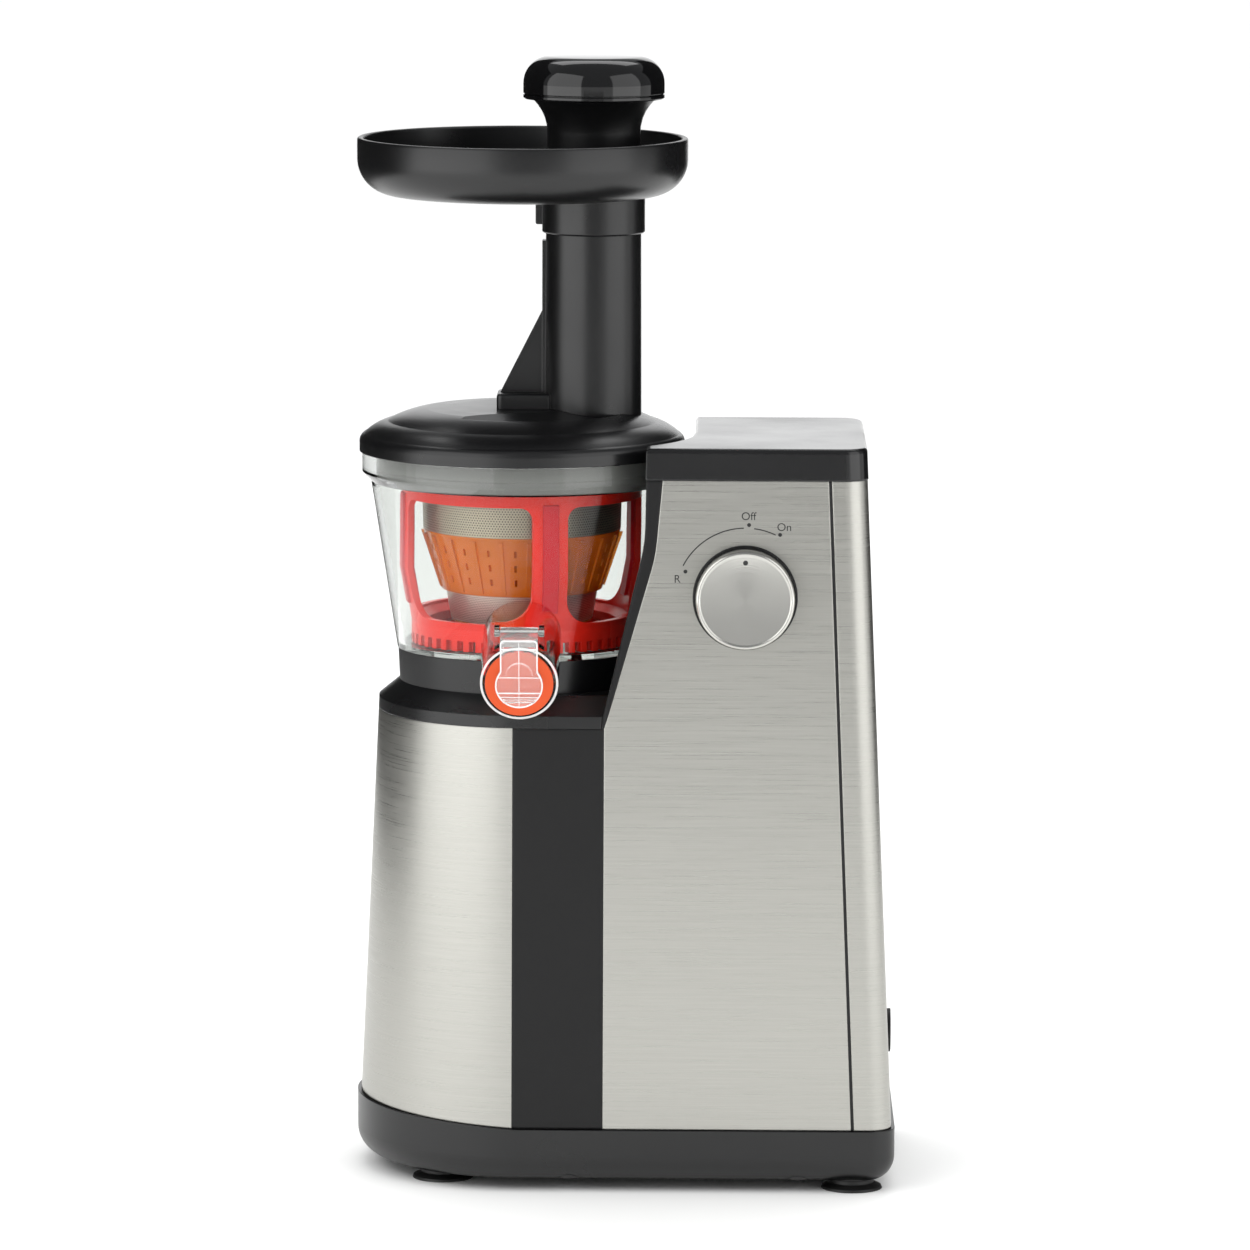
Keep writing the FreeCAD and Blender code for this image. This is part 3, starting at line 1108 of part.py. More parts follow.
lid = lid.cut(recess_block.common(cylinder(RECESS_RADIUS, LID_ROOF_Z, LID_TOP_Z + 5)))
feed = Part.makeCone(TUBE_LOW_RADIUS, TUBE_RADIUS, TUBE_STEP_Z - LID_ROOF_Z, V(FEED_X, 0, LID_ROOF_Z), UP)
tray_floor_top = TRAY_Z + TRAY_THICKNESS
feed = feed.fuse(cylinder(TUBE_SPIGOT_RADIUS, TUBE_STEP_Z - 1, tray_floor_top, FEED_X, 0))
guide = box(FEED_X - TUBE_LOW_RADIUS - 0.9, FEED_X - TUBE_LOW_RADIUS + 4, -3.5, 3.5, LID_TOP_Z - 1,
            TUBE_STEP_Z - 3)
gusset = plate_xz([(FEED_X - TUBE_RADIUS + 1, GUSSET_TOP_Z), (-BOSS_HALF_WIDTH + 1, BOSS_TOP_Z - 0.5),
                   (FEED_X - TUBE_RADIUS + 1, BOSS_TOP_Z - 0.5)], -GUSSET_THICKNESS / 2, GUSSET_THICKNESS / 2)
boss = box(-BOSS_HALF_WIDTH, BOSS_HALF_WIDTH + 2, -BOSS_HALF_WIDTH, BOSS_HALF_WIDTH, LID_TOP_Z - 3,
           BOSS_TOP_Z)
boss = boss.makeFillet(2.0, [e for e in boss.Edges if e.BoundBox.ZLength > 3])
boss = boss.makeFillet(1.2, [e for e in boss.Edges if e.BoundBox.ZMin > BOSS_TOP_Z - 0.01])
feed_bore = cylinder(TUBE_BORE, rim_top, tray_floor_top + 1, FEED_X, 0)
lid = lid.cut(feed_bore)
bush_top = bearing_low + BUSH_LENGTH
lid = lid.cut(cylinder(PIN_RADIUS + BUSH_WALL, bearing_low - 1, bush_top))
lid_bush = tube(PIN_RADIUS + BUSH_WALL, PIN_RADIUS + RUN_FIT, bearing_low, bush_top)
lid = lid.cut(cylinder(PIN_RADIUS + 1, bush_top, AUGER_TOP_Z + PIN_LENGTH + 1))
feed_chute = feed.fuse(guide).fuse(gusset).fuse(boss).cut(feed_bore).cut(lid)
save("lid", lid)
save("feed_chute", feed_chute)
save("lid_bush", lid_bush)

# Feed tray with its collar over the tube's spigot

tray = cylinder(TRAY_RADIUS, TRAY_Z, TRAY_TOP_Z)
tray = tray.makeFillet(TRAY_BEND, [e for e in tray.Edges if e.BoundBox.ZMax < TRAY_Z + 0.01])
tray_inside = cylinder(TRAY_RADIUS - TRAY_THICKNESS, tray_floor_top, TRAY_TOP_Z + OVERCUT)
floor_edges = [e for e in tray_inside.Edges if e.BoundBox.ZMax < tray_floor_top + 0.01]
tray_inside = tray_inside.makeFillet(TRAY_BEND - TRAY_THICKNESS, floor_edges)
tray = tray.cut(tray_inside)
tray = tray.makeFillet(1.0, [e for e in tray.Edges if e.BoundBox.ZMin > TRAY_TOP_Z - 0.01])
tray = tray.fuse(cylinder(COLLAR_RADIUS, TUBE_STEP_Z, TRAY_Z + 1, FEED_X, 0))
tab = box(FEED_X - COLLAR_RADIUS - 2.3, FEED_X - COLLAR_RADIUS + 3, -3, 3, TUBE_STEP_Z + 3, TRAY_Z + 1)
tray = tray.fuse(tab).cut(cylinder(TUBE_SPIGOT_RADIUS + COLLAR_FIT, TUBE_STEP_Z - 1, TRAY_TOP_Z, FEED_X, 0))
save("feed_tray", tray)

# Pusher: a hollow stem with a flared neck, and a domed cap

stem_radius = TUBE_BORE - STEM_CLEARANCE
stem_wall = 2.0
neck_low = tray_floor_top + GAP
flare_mid_radius = NECK_RADIUS + 0.33 * (NECK_FLARE_RADIUS - NECK_RADIUS)
flare_mid_z = NECK_Z + 0.45 * (PUSHER_SEAM_Z - NECK_Z)
stem = lathe([
    (0, STEM_LOW_Z), (stem_radius - 1, STEM_LOW_Z), (stem_radius, STEM_LOW_Z + 1), (stem_radius, neck_low),
    (NECK_RADIUS, neck_low), (NECK_RADIUS, NECK_Z),
    (flare_mid_radius, flare_mid_z, NECK_FLARE_RADIUS, PUSHER_SEAM_Z),
    (stem_radius - stem_wall, PUSHER_SEAM_Z), (stem_radius - stem_wall, STEM_LOW_Z + stem_wall),
    (0, STEM_LOW_Z + stem_wall),
], FEED_X, 0)
save("pusher_stem", stem)
pusher_cap = cylinder(PUSHER_RADIUS, PUSHER_SEAM_Z, PUSHER_TOP_Z, FEED_X, 0)
dome_radius = 10.5
pusher_cap = pusher_cap.makeFillet(dome_radius,
                                   [e for e in pusher_cap.Edges if e.BoundBox.ZMin > PUSHER_TOP_Z - 0.01])
pusher_cap = pusher_cap.cut(cylinder(NECK_FLARE_RADIUS - 4, PUSHER_SEAM_Z - 1, PUSHER_TOP_Z - 6, FEED_X, 0))
seam_groove = tube(PUSHER_RADIUS + 1, PUSHER_RADIUS - 0.5, PUSHER_SEAM_Z + 1.6, PUSHER_SEAM_Z + 2.0, FEED_X,
                   0)
pusher_cap = pusher_cap.cut(seam_groove)
save("pusher_cap", pusher_cap)

# Knob, spindle, dial seat and switch, square to the leaning front panel

lean = (ENV_LOW_HALF_WIDTH - ENV_TOP_HALF_WIDTH) / (ENV_TOP_Z - ENV_LOW_Z)
LEAN_ANGLE = 180 / pi * FreeCAD.Vector(0, 1, 0).getAngle(V(0, 1, lean))
panel_point = V(KNOB_X, -half_width(KNOB_Z), KNOB_Z)


def on_panel(shape):
    """Local Z points out of the front panel at the knob's axis."""
    placed = shape.copy()
    placed.rotate(V(0, 0, 0), V(1, 0, 0), 90 - LEAN_ANGLE)
    placed.translate(panel_point)
    return placed


knob_gap = 0.3
knob_low = DIAL_SEAT_HEIGHT + knob_gap
knob_top = KNOB_HEIGHT
knob = turned([
    (SPINDLE_RADIUS, knob_low), (KNOB_RADIUS, knob_low), (KNOB_RADIUS, knob_low + 1.5),
               (KNOB_FACE_RADIUS + 0.3, knob_top - 0.8),
    (KNOB_FACE_RADIUS - 0.5, knob_top), (KNOB_FACE_RADIUS - 1.6, knob_top - 0.3), (2.0, knob_top - 0.5),
    (0, knob_top - 0.6), (0, knob_top - 4), (SPINDLE_RADIUS, knob_top - 4),
])
pointer_radius = 14.8
knob = knob.cut(cylinder(1.0, knob_top - 1.4, knob_top + 1, 0, pointer_radius))
save("knob", on_panel(knob))
spindle = cylinder(SPINDLE_RADIUS, -cavity_inset - SWITCH_DEPTH + 3, knob_top - 4)
save("switch_spindle", on_panel(spindle))
save("dial_seat", on_panel(tube(KNOB_RADIUS + 0.8, SPINDLE_RADIUS + 2, 0, DIAL_SEAT_HEIGHT)))
switch_half = 13.0
switch = box(-switch_half, switch_half, -switch_half, switch_half, -cavity_inset - SWITCH_DEPTH,
             -cavity_inset)
for i in range(4):
    tag = box(-1.2 + 6 * (i - 1.5), 1.2 + 6 * (i - 1.5), -0.4, 0.4, -cavity_inset - SWITCH_DEPTH - 6,
              -cavity_inset - SWITCH_DEPTH)
    tag.translate(V(0, -switch_half + 3, 0))
    switch = switch.fuse(tag)
switch = switch.cut(cylinder(SPINDLE_RADIUS + RUN_FIT, -cavity_inset - SWITCH_DEPTH + 2.9, 0))
save("rotary_switch", on_panel(switch))

# Gearbox: plate and cover bolted together and hung from the deck

gear_zone_half = SECOND_MODULE * (OUTPUT_TEETH / 2 + ADDENDUM) + GEARBOX_MARGIN


def slot_block(half, low, high):
    """A block with two round ends, over the output gear and the reduction gear."""
    middle = box(0, REDUCTION_X, -half, half, low, high)
    return middle.fuse(cylinder(half, low, high)).fuse(cylinder(half, low, high, REDUCTION_X,
                                                                0)).removeSplitter()


plate_low = GEARBOX_TOP_Z - GEARBOX_HEIGHT
plate_high = plate_low + GEARBOX_PLATE_THICKNESS
roof_low = GEARBOX_TOP_Z - GEARBOX_WALL
BEARING_RADIUS = 10.0
BEARING_HEIGHT = 6.0
bearing_top = GEARBOX_TOP_Z + 4.5
post_radius = 4.5
post_places = [(-31.0, -31.0), (-31.0, 31.0), (REDUCTION_X, -37.5), (REDUCTION_X, 37.5)]
cover = slot_block(gear_zone_half, plate_high, GEARBOX_TOP_Z).cut(
    slot_block(gear_zone_half - GEARBOX_WALL, plate_high - 1, roof_low))
cover = cover.fuse(cylinder(BEARING_RADIUS + 2.5, roof_low, bearing_top))
cover = cover.cut(cylinder(BEARING_RADIUS, bearing_top - BEARING_HEIGHT, bearing_top + 1))
cover = cover.cut(cylinder(SHAFT_RADIUS + 1.5, roof_low - 1, bearing_top))
gear_plate = slot_block(gear_zone_half, plate_low, plate_high)
gear_plate = gear_plate.cut(cylinder(BEARING_RADIUS, plate_high - BEARING_HEIGHT + 1, plate_high + 1))
motor_bearing_radius = 7.0
gear_plate = gear_plate.cut(cylinder(motor_bearing_radius, plate_low - 1, plate_high + 1, MOTOR_X, 0))
gear_screws = []
screw_length = 14.0
for post_x, post_y in post_places:
    cover = cover.fuse(cylinder(post_radius, plate_high, roof_low + 1, post_x, post_y))
    cover = cover.cut(cylinder(SCREW_RADIUS, plate_high - 1, plate_low + screw_length, post_x, post_y))
    gear_plate = gear_plate.fuse(cylinder(post_radius, plate_low, plate_high, post_x, post_y))
    gear_plate = gear_plate.cut(cylinder(SCREW_RADIUS, plate_low - 1, plate_high + 1, post_x, post_y))
    shank = cylinder(SCREW_RADIUS, plate_low, plate_low + screw_length, post_x, post_y)
    gear_screws.append(shank.fuse(cylinder(2 * SCREW_RADIUS, plate_low - SCREW_RADIUS, plate_low, post_x,
                                           post_y)))
    shoulder = shoulder.fuse(cylinder(post_radius, GEARBOX_TOP_Z, DECK_Z - 1, post_x, post_y).common(
        deck_body(0).fuse(box(-far, far, -far, far, 0, lip_top))))
save("shoulder_cover", shoulder)
save("gearbox_cover", cover)
save("gearbox_screws", Part.makeCompound(gear_screws))

output_high = roof_low - GEAR_PLAY
output_low = output_high - GEAR_FACE
output_gear = gear(OUTPUT_TEETH, SECOND_MODULE, output_low, output_high).cut(
    cylinder(SHAFT_RADIUS, output_low - 1, output_high + 1))
for hole in ring_of(cylinder(7.0, output_low - 1, output_high + 1, 21.0, 0), 6, 30):
    output_gear = output_gear.cut(hole)
save("output_gear", output_gear)
round_top = BOWL_FLOOR_Z + 4
drive_shaft = cylinder(SHAFT_RADIUS, plate_high - BEARING_HEIGHT + 1, round_top)
drive_shaft = drive_shaft.fuse(hexagon(HEX_ACROSS_FLATS, round_top, SHAFT_TOP_Z))
drive_shaft = drive_shaft.cut(output_gear)
save("drive_shaft", drive_shaft)
drive_bearings = [
    tube(BEARING_RADIUS, SHAFT_RADIUS + RUN_FIT, plate_high - BEARING_HEIGHT + 1, plate_high),
    tube(BEARING_RADIUS, SHAFT_RADIUS + RUN_FIT, bearing_top - BEARING_HEIGHT, bearing_top),
]
save("drive_bearings", Part.makeCompound(drive_bearings))
seal_outer = CHIMNEY_BORE + 3
shaft_seal = tube(seal_outer, SHAFT_RADIUS + RUN_FIT, DECK_Z - DECK_THICKNESS, DECK_Z + 1.2)
save("shaft_seal", shaft_seal)

reduction_pin_radius = 3.0
wheel_low = plate_high + GEAR_PLAY
wheel_high = wheel_low + GEAR_FACE
pinion_high = output_high
reduction = gear(REDUCTION_WHEEL_TEETH, FIRST_MODULE, wheel_low, wheel_high)
reduction = reduction.fuse(gear(REDUCTION_PINION_TEETH, SECOND_MODULE, wheel_high - 1, pinion_high,
                                180.0 / REDUCTION_PINION_TEETH))
reduction = reduction.cut(cylinder(reduction_pin_radius + RUN_FIT, wheel_low - 1, pinion_high + 1))
reduction.translate(V(REDUCTION_X, 0, 0))
save("reduction_gear", reduction)
reduction_pin = cylinder(reduction_pin_radius, plate_low + 2, roof_low, REDUCTION_X, 0)
gear_plate = gear_plate.cut(cylinder(reduction_pin_radius, plate_low + 2, plate_high + 1, REDUCTION_X, 0))
save("reduction_pin", reduction_pin)

# Motor: stator stack, windings, brackets, rotor, fan and pinion

stack_high = plate_low - STATOR_DROP
stack_low = stack_high - STATOR_STACK
stator_bore = ROTOR_RADIUS + AIR_GAP
half = STATOR_SIZE / 2
stator = box(MOTOR_X - half, MOTOR_X + half, -half, half, stack_low, stack_high)
stator = stator.makeChamfer(8.0, [e for e in stator.Edges if e.BoundBox.ZLength > STATOR_STACK - 1])
stator = stator.cut(cylinder(stator_bore, stack_low - 1, stack_high + 1, MOTOR_X, 0))
winding_inner = stator_bore + 2.0
winding_outer = half - 5.0
windings = []
for low, high in ((stack_low - WINDING_RISE, stack_low), (stack_high, stack_high + WINDING_RISE)):
    coil = tube(winding_outer, winding_inner, low, high, MOTOR_X, 0)
    windings.append(coil.makeFillet(3.0, [e for e in coil.Edges if e.BoundBox.ZLength < 0.01 and
                                          abs(e.BoundBox.ZMin - (low if low < stack_low else high)) < 0.01]))
save("motor_windings", Part.makeCompound(windings))
spacer_offset = half - 9.0
lower_bracket_z = stack_low - WINDING_RISE - 6
spacers = []
stud_radius = 3.2
for sx in (-1, 1):
    for sy in (-1, 1):
        x = MOTOR_X + sx * spacer_offset
        y = sy * spacer_offset
        spacers.append(cylinder(stud_radius, lower_bracket_z, plate_low, x, y))
        stator = stator.cut(cylinder(stud_radius, stack_low - 1, stack_high + 1, x, y))
save("motor_stator", stator)
arm = 6.0
reach_out = spacer_offset + 5.0
lower_bracket = box(-reach_out * sqrt(2), reach_out * sqrt(2), -arm, arm,
                    lower_bracket_z - BRACKET_THICKNESS, lower_bracket_z)
lower_bracket = spun(lower_bracket, 45).fuse(spun(lower_bracket, 135))
lower_bracket = lower_bracket.fuse(cylinder(motor_bearing_radius + 2.5, lower_bracket_z - 6, lower_bracket_z))
lower_bracket = lower_bracket.cut(cylinder(motor_bearing_radius, lower_bracket_z - 7, lower_bracket_z + 1))
lower_bracket.translate(V(MOTOR_X, 0, 0))
save("motor_bracket", lower_bracket)
save("motor_studs", Part.makeCompound(spacers))
for sx in (-1, 1):
    for sy in (-1, 1):
        lug_x = MOTOR_X + sx * spacer_offset
        lug_y = sy * spacer_offset
        gear_plate = gear_plate.fuse(cylinder(stud_radius + 2.5, plate_low, plate_high, lug_x, lug_y))
arm_plate = box(REDUCTION_X, MOTOR_X + spacer_offset, -spacer_offset - stud_radius,
                spacer_offset + stud_radius, plate_low, plate_high)
gear_plate = gear_plate.fuse(arm_plate.cut(cylinder(motor_bearing_radius, plate_low - 1, plate_high + 1,
                                                    MOTOR_X, 0)).cut(
    cylinder(reduction_pin_radius, plate_low + 2, plate_high + 1, REDUCTION_X, 0)))
save("gearbox_plate", gear_plate)
motor_bearings = [
    tube(motor_bearing_radius, MOTOR_SHAFT_RADIUS + RUN_FIT, plate_low, plate_high, MOTOR_X, 0),
    tube(motor_bearing_radius, MOTOR_SHAFT_RADIUS + RUN_FIT, lower_bracket_z - 6, lower_bracket_z, MOTOR_X,
         0),
]
save("motor_bearings", Part.makeCompound(motor_bearings))
fan_high = lower_bracket_z - 9
fan_low = fan_high - FAN_HEIGHT
motor_shaft = cylinder(MOTOR_SHAFT_RADIUS, fan_low, wheel_high, MOTOR_X, 0)
rotor = cylinder(ROTOR_RADIUS, stack_low - 1, stack_high + 1, MOTOR_X, 0).cut(
    cylinder(MOTOR_SHAFT_RADIUS, stack_low - 2, stack_high + 2, MOTOR_X, 0))
save("motor_rotor", rotor)
save("motor_shaft", motor_shaft)
motor_pinion = gear(MOTOR_PINION_TEETH, FIRST_MODULE, wheel_low, wheel_high, 180.0 / MOTOR_PINION_TEETH)
motor_pinion = motor_pinion.cut(cylinder(MOTOR_SHAFT_RADIUS, wheel_low - 1, wheel_high + 1))
motor_pinion.translate(V(MOTOR_X, 0, 0))
save("motor_pinion", motor_pinion)
blade = box(8, FAN_RADIUS, -0.8, 0.8, fan_low, fan_high)
fan = tube(9.0, MOTOR_SHAFT_RADIUS, fan_low,
           fan_high).fuse(tube(FAN_RADIUS, MOTOR_SHAFT_RADIUS, fan_high - 1.6, fan_high))
fan = fan.multiFuse(ring_of(blade, FAN_BLADES))
fan.translate(V(MOTOR_X, 0, 0))
save("cooling_fan", fan)

# Run capacitor in its clip, standing on the tray's floor

CAPACITOR_X = -14.0
capacitor_low = TRAY_BOTTOM_Z + TRAY_FLOOR_THICKNESS
capacitor = cylinder(CAPACITOR_RADIUS, capacitor_low, capacitor_low + CAPACITOR_HEIGHT, CAPACITOR_X, 0)
capacitor_rim = [e for e in capacitor.Edges if e.BoundBox.ZMin > capacitor_low + 1
                 and e.BoundBox.ZLength < 0.01]
capacitor = capacitor.makeFillet(1.2, capacitor_rim)
clip_wall = 1.2
clip = tube(CAPACITOR_RADIUS + clip_wall, CAPACITOR_RADIUS, capacitor_low + 14, capacitor_low + 24,
            CAPACITOR_X, 0)
clip_leg = box(CAPACITOR_X + CAPACITOR_RADIUS + 0.2, CAPACITOR_X + CAPACITOR_RADIUS + clip_wall, -5, 5,
               capacitor_low, capacitor_low + 20)
clip_foot = box(CAPACITOR_X + CAPACITOR_RADIUS + 0.2, CAPACITOR_X + CAPACITOR_RADIUS + 12, -5, 5,
                capacitor_low, capacitor_low + clip_wall)
clip = clip.fuse(clip_leg).fuse(clip_foot).cut(cylinder(CAPACITOR_RADIUS, 0, 100, CAPACITOR_X, 0))
save("run_capacitor", capacitor)
save("capacitor_clip", clip)

# Cord inlet: a rubber grommet through the end panel

gland_face = right_end(GLAND_Z)
gland_flange = 1.4
grommet = Part.makeCylinder(GLAND_RADIUS, 8, V(gland_face - 7, 0, GLAND_Z), V(1, 0, 0))
grommet = grommet.fuse(Part.makeCylinder(GLAND_RADIUS + 2, gland_flange, V(gland_face + 0.5, 0, GLAND_Z),
                                         V(1, 0, 0)))
grommet = grommet.cut(Part.makeCylinder(CORD_RADIUS, 20, V(gland_face - 10, 0, GLAND_Z), V(1, 0, 0)))
save("cord_grommet", grommet)

# Housing screws: up through the tray's bosses into the chassis posts

HOUSING_POST_X = (20.0, 108.0)
housing_post_radius = 4.5
boss_radius = 6.0
boss_top = 16.0
housing_screws = []
for post_x in HOUSING_POST_X:
    for side in (-1, 1):
        post_y = side * (ENV_LOW_HALF_WIDTH - cavity_inset - housing_post_radius + 0.6)
        base_tray = base_tray.fuse(cylinder(boss_radius - 1, TRAY_BOTTOM_Z + 1, boss_top, post_x, post_y))
        base_tray = base_tray.cut(cylinder(4.2, TRAY_BOTTOM_Z - 1, TRAY_BOTTOM_Z + 4, post_x, post_y))
        base_tray = base_tray.cut(cylinder(SCREW_RADIUS, TRAY_BOTTOM_Z, boss_top + 1, post_x, post_y))
        post = cylinder(housing_post_radius, boss_top, 60, post_x, post_y).common(envelope(SHEET, 0, 70))
        post = post.cut(cylinder(SCREW_RADIUS, boss_top - 1, boss_top + 16, post_x, post_y))
        chassis_frame = chassis_frame.fuse(post)
        shank = cylinder(SCREW_RADIUS, TRAY_BOTTOM_Z + 4, boss_top + 16, post_x, post_y)
        head = cylinder(3.8, TRAY_BOTTOM_Z + 1.4, TRAY_BOTTOM_Z + 4, post_x, post_y)
        housing_screws.append(shank.fuse(head))
save("base_tray", base_tray)
save("chassis_frame", chassis_frame)
save("housing_screws", Part.makeCompound(housing_screws))
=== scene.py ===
from math import cos, pi, radians, sin

import bmesh
import bpy
import numpy as np
from mathutils import Matrix, Vector


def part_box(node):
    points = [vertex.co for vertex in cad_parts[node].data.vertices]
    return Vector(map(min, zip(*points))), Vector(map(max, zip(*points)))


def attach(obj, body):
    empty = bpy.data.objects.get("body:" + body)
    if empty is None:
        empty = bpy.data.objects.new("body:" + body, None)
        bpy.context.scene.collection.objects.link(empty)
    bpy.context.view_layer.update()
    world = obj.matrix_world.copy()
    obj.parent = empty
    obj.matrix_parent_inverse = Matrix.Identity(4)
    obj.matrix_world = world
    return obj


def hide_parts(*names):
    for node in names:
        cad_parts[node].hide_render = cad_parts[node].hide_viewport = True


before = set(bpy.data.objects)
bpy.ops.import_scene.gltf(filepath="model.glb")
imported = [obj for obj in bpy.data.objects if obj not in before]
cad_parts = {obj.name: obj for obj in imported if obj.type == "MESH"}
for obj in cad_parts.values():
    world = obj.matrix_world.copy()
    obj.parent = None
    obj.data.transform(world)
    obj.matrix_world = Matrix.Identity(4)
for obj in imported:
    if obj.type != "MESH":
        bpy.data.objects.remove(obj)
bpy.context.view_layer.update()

# Base tray: the black foot of the housing, moulded in ABS with a fine satin texture.
# Its rim rises a little towards the round end, and its lower edge is well rounded.

# sizes are in millimetres where nothing else is said, and MM turns them to metres
MM = 0.001
PATCH_SIZE = 40.0
# most of a noise's values lie between these
NOISE_LOW, NOISE_HIGH = 0.3, 0.7


def linear(colour):
    """An sRGB hex colour as the linear values that a shader takes."""
    parts = np.array([int(colour[i:i + 2], 16) for i in (1, 3, 5)]) / 255
    values = np.where(parts <= 0.04045, parts / 12.92, ((parts + 0.055) / 1.055) ** 2.4)
    return (*values.tolist(), 1.0)


def add_node(tree, kind, settings=(), inputs=()):
    """One shader node with its properties set, and a value or a feeding socket at each input."""
    node = tree.nodes.new("ShaderNode" + kind)
    for name, value in dict(settings).items():
        setattr(node, name, value)
    for name, value in dict(inputs).items():
        if isinstance(value, bpy.types.NodeSocket):
            tree.links.new(value, node.inputs[name])
        else:
            node.inputs[name].default_value = value
    return node


def start_material(name, **sockets):
    """A new material with the given values on its shader's own sockets."""
    material = bpy.data.materials.new(name)
    material.use_nodes = True
    tree = material.node_tree
    shader = tree.nodes["Principled BSDF"]
    for socket, value in sockets.items():
        shader.inputs[socket.replace("_", " ")].default_value = value
    place = add_node(tree, "TexCoord").outputs["Object"]
    return material, tree, shader, place


def soften(tree, shader, height, depth_mm, edge_mm):
    """Bump the skin by a height, and let the light run over edges as if they had this radius."""
    edge = add_node(tree, "Bevel", {"samples": 6}, {"Radius": edge_mm * MM})
    bump = add_node(tree, "Bump", inputs={"Height": height, "Distance": depth_mm * MM,
                                          "Strength": 1.0, "Normal": edge.outputs["Normal"]})
    tree.links.new(bump.outputs["Normal"], shader.inputs["Normal"])


def moulded(name, colour, roughness, grain_mm, depth_mm, ior=1.53, worn=0.04, edge_mm=0.5,
            shine=0.5, clear=0.0):
    """A moulded plastic: a grainy skin, and slow patches where the gloss is higher or lower.

    The height is a noise with cells of grain_mm. The roughness follows another noise, with cells of
    PATCH_SIZE, from its mean less worn to its mean plus worn.
    """
    material, tree, shader, place = start_material(
        name, Base_Color=linear(colour), IOR=ior, Specular_IOR_Level=shine,
        Transmission_Weight=clear)
    patches = add_node(tree, "TexNoise", inputs={"Vector": place, "Scale": 1 / (PATCH_SIZE * MM),
                                                 "Detail": 3.0})
    gloss = add_node(tree, "MapRange", inputs={
        "Value": patches.outputs["Fac"], "From Min": NOISE_LOW, "From Max": NOISE_HIGH,
        "To Min": roughness - worn, "To Max": roughness + worn})
    tree.links.new(gloss.outputs["Result"], shader.inputs["Roughness"])
    grain = add_node(tree, "TexNoise", inputs={"Vector": place, "Scale": 1 / (grain_mm * MM),
                                               "Detail": 2.0})
    soften(tree, shader, grain.outputs["Fac"], depth_mm, edge_mm)
    return material


def finish_node(name, material):
    """Give a CAD node its material."""
    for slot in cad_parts[name].material_slots:
        slot.material = material


# ABS with a spark-eroded satin skin: black, with soft wide highlights. The real texture is finer
# than 0.1 mm, and its 0.5 mm here is as coarse as it needs to be to show.
satin_abs = moulded("satin_black_abs", "#0d0d0e", roughness=0.3, grain_mm=0.5, depth_mm=0.004)
finish_node("base_tray", satin_abs)

# Suction feet: four soft cups under the tray's corners, moulded in black rubber and pressed on
# the tray's bosses.

# moulded rubber: matt and dark, with barely a highlight
foot_rubber = moulded("moulded_rubber", "#101010", roughness=0.5, grain_mm=0.8, depth_mm=0.01,
                      ior=1.52)
finish_node("suction_feet", foot_rubber)

# Steel cladding: stainless sheet 0.8 mm thick, brushed level and folded at its edges,
# so that each edge shows as a bright line beside the black seams.

STREAK_LENGTH = 45.0
STREAK_WIDTH = 0.35
STREAK_DEPTH = 0.004
STEEL_EDGE = 0.7
# a colour Mix node's own sockets: its two colours and its result
FIRST_COLOUR, SECOND_COLOUR, MIXED_COLOUR = 6, 7, 2


def brushed_steel(name, colour, roughness):
    """Metal brushed level: streaks that run round the body, and a highlight stretched upright.

    A noise with cells of STREAK_LENGTH level and STREAK_WIDTH upright shades the colour and sets
    the roughness and the height. The brushing runs along the skin's normal crossed with the
    upright axis.
    """
    material, tree, shader, place = start_material(name, Base_Color=linear(colour), Metallic=1.0,
                                                   Roughness=roughness, Anisotropic=0.55)
    level, upright = 1 / (STREAK_LENGTH * MM), 1 / (STREAK_WIDTH * MM)
    lie = add_node(tree, "Mapping", inputs={"Vector": place, "Scale": (level, level, upright)})
    streaks = add_node(tree, "TexNoise", inputs={"Vector": lie.outputs["Vector"], "Scale": 1.0,
                                                 "Detail": 4.0, "Roughness": 0.7})
    shade = add_node(tree, "MapRange", inputs={"Value": streaks.outputs["Fac"], "From Min": 0.25,
                                               "From Max": 0.75, "To Min": 0.84, "To Max": 1.0})
    base = add_node(tree, "Mix", {"data_type": "RGBA", "blend_type": "MULTIPLY"}, {
        "Factor": 1.0, FIRST_COLOUR: linear(colour), SECOND_COLOUR: shade.outputs["Result"]})
    tree.links.new(base.outputs[MIXED_COLOUR], shader.inputs["Base Color"])
    rub = add_node(tree, "MapRange", inputs={
        "Value": streaks.outputs["Fac"], "From Min": NOISE_LOW, "From Max": NOISE_HIGH,
        "To Min": roughness - 0.05, "To Max": roughness + 0.07})
    tree.links.new(rub.outputs["Result"], shader.inputs["Roughness"])
    soften(tree, shader, streaks.outputs["Fac"], STREAK_DEPTH, STEEL_EDGE)
    facing = add_node(tree, "NewGeometry").outputs["Normal"]
    along = add_node(tree, "VectorMath", {"operation": "CROSS_PRODUCT"}, {0: facing, 1: (0, 0, 1)})
    tree.links.new(along.outputs["Vector"], shader.inputs["Tangent"])
    return material


# brushed stainless sheet: warm grey, with soft bands of light that run upright. Real brushing is
# under 0.1 mm wide, and STREAK_WIDTH is as coarse as it needs to be to show.
cladding_steel = brushed_steel("brushed_stainless_sheet", "#bab9b3", roughness=0.3)
for name in ("left_steel_wrap", "front_steel_panel", "back_steel_panel", "corner_steel_strips"):
    finish_node(name, cladding_steel)

# Dial marks: black ink printed on the front panel round the knob, in three places: reverse, off
# and on. An arc joins them, with a dot at each place and its letters beside it.

MERGE_WITHIN = 0.004
ARC_STEPS = 40
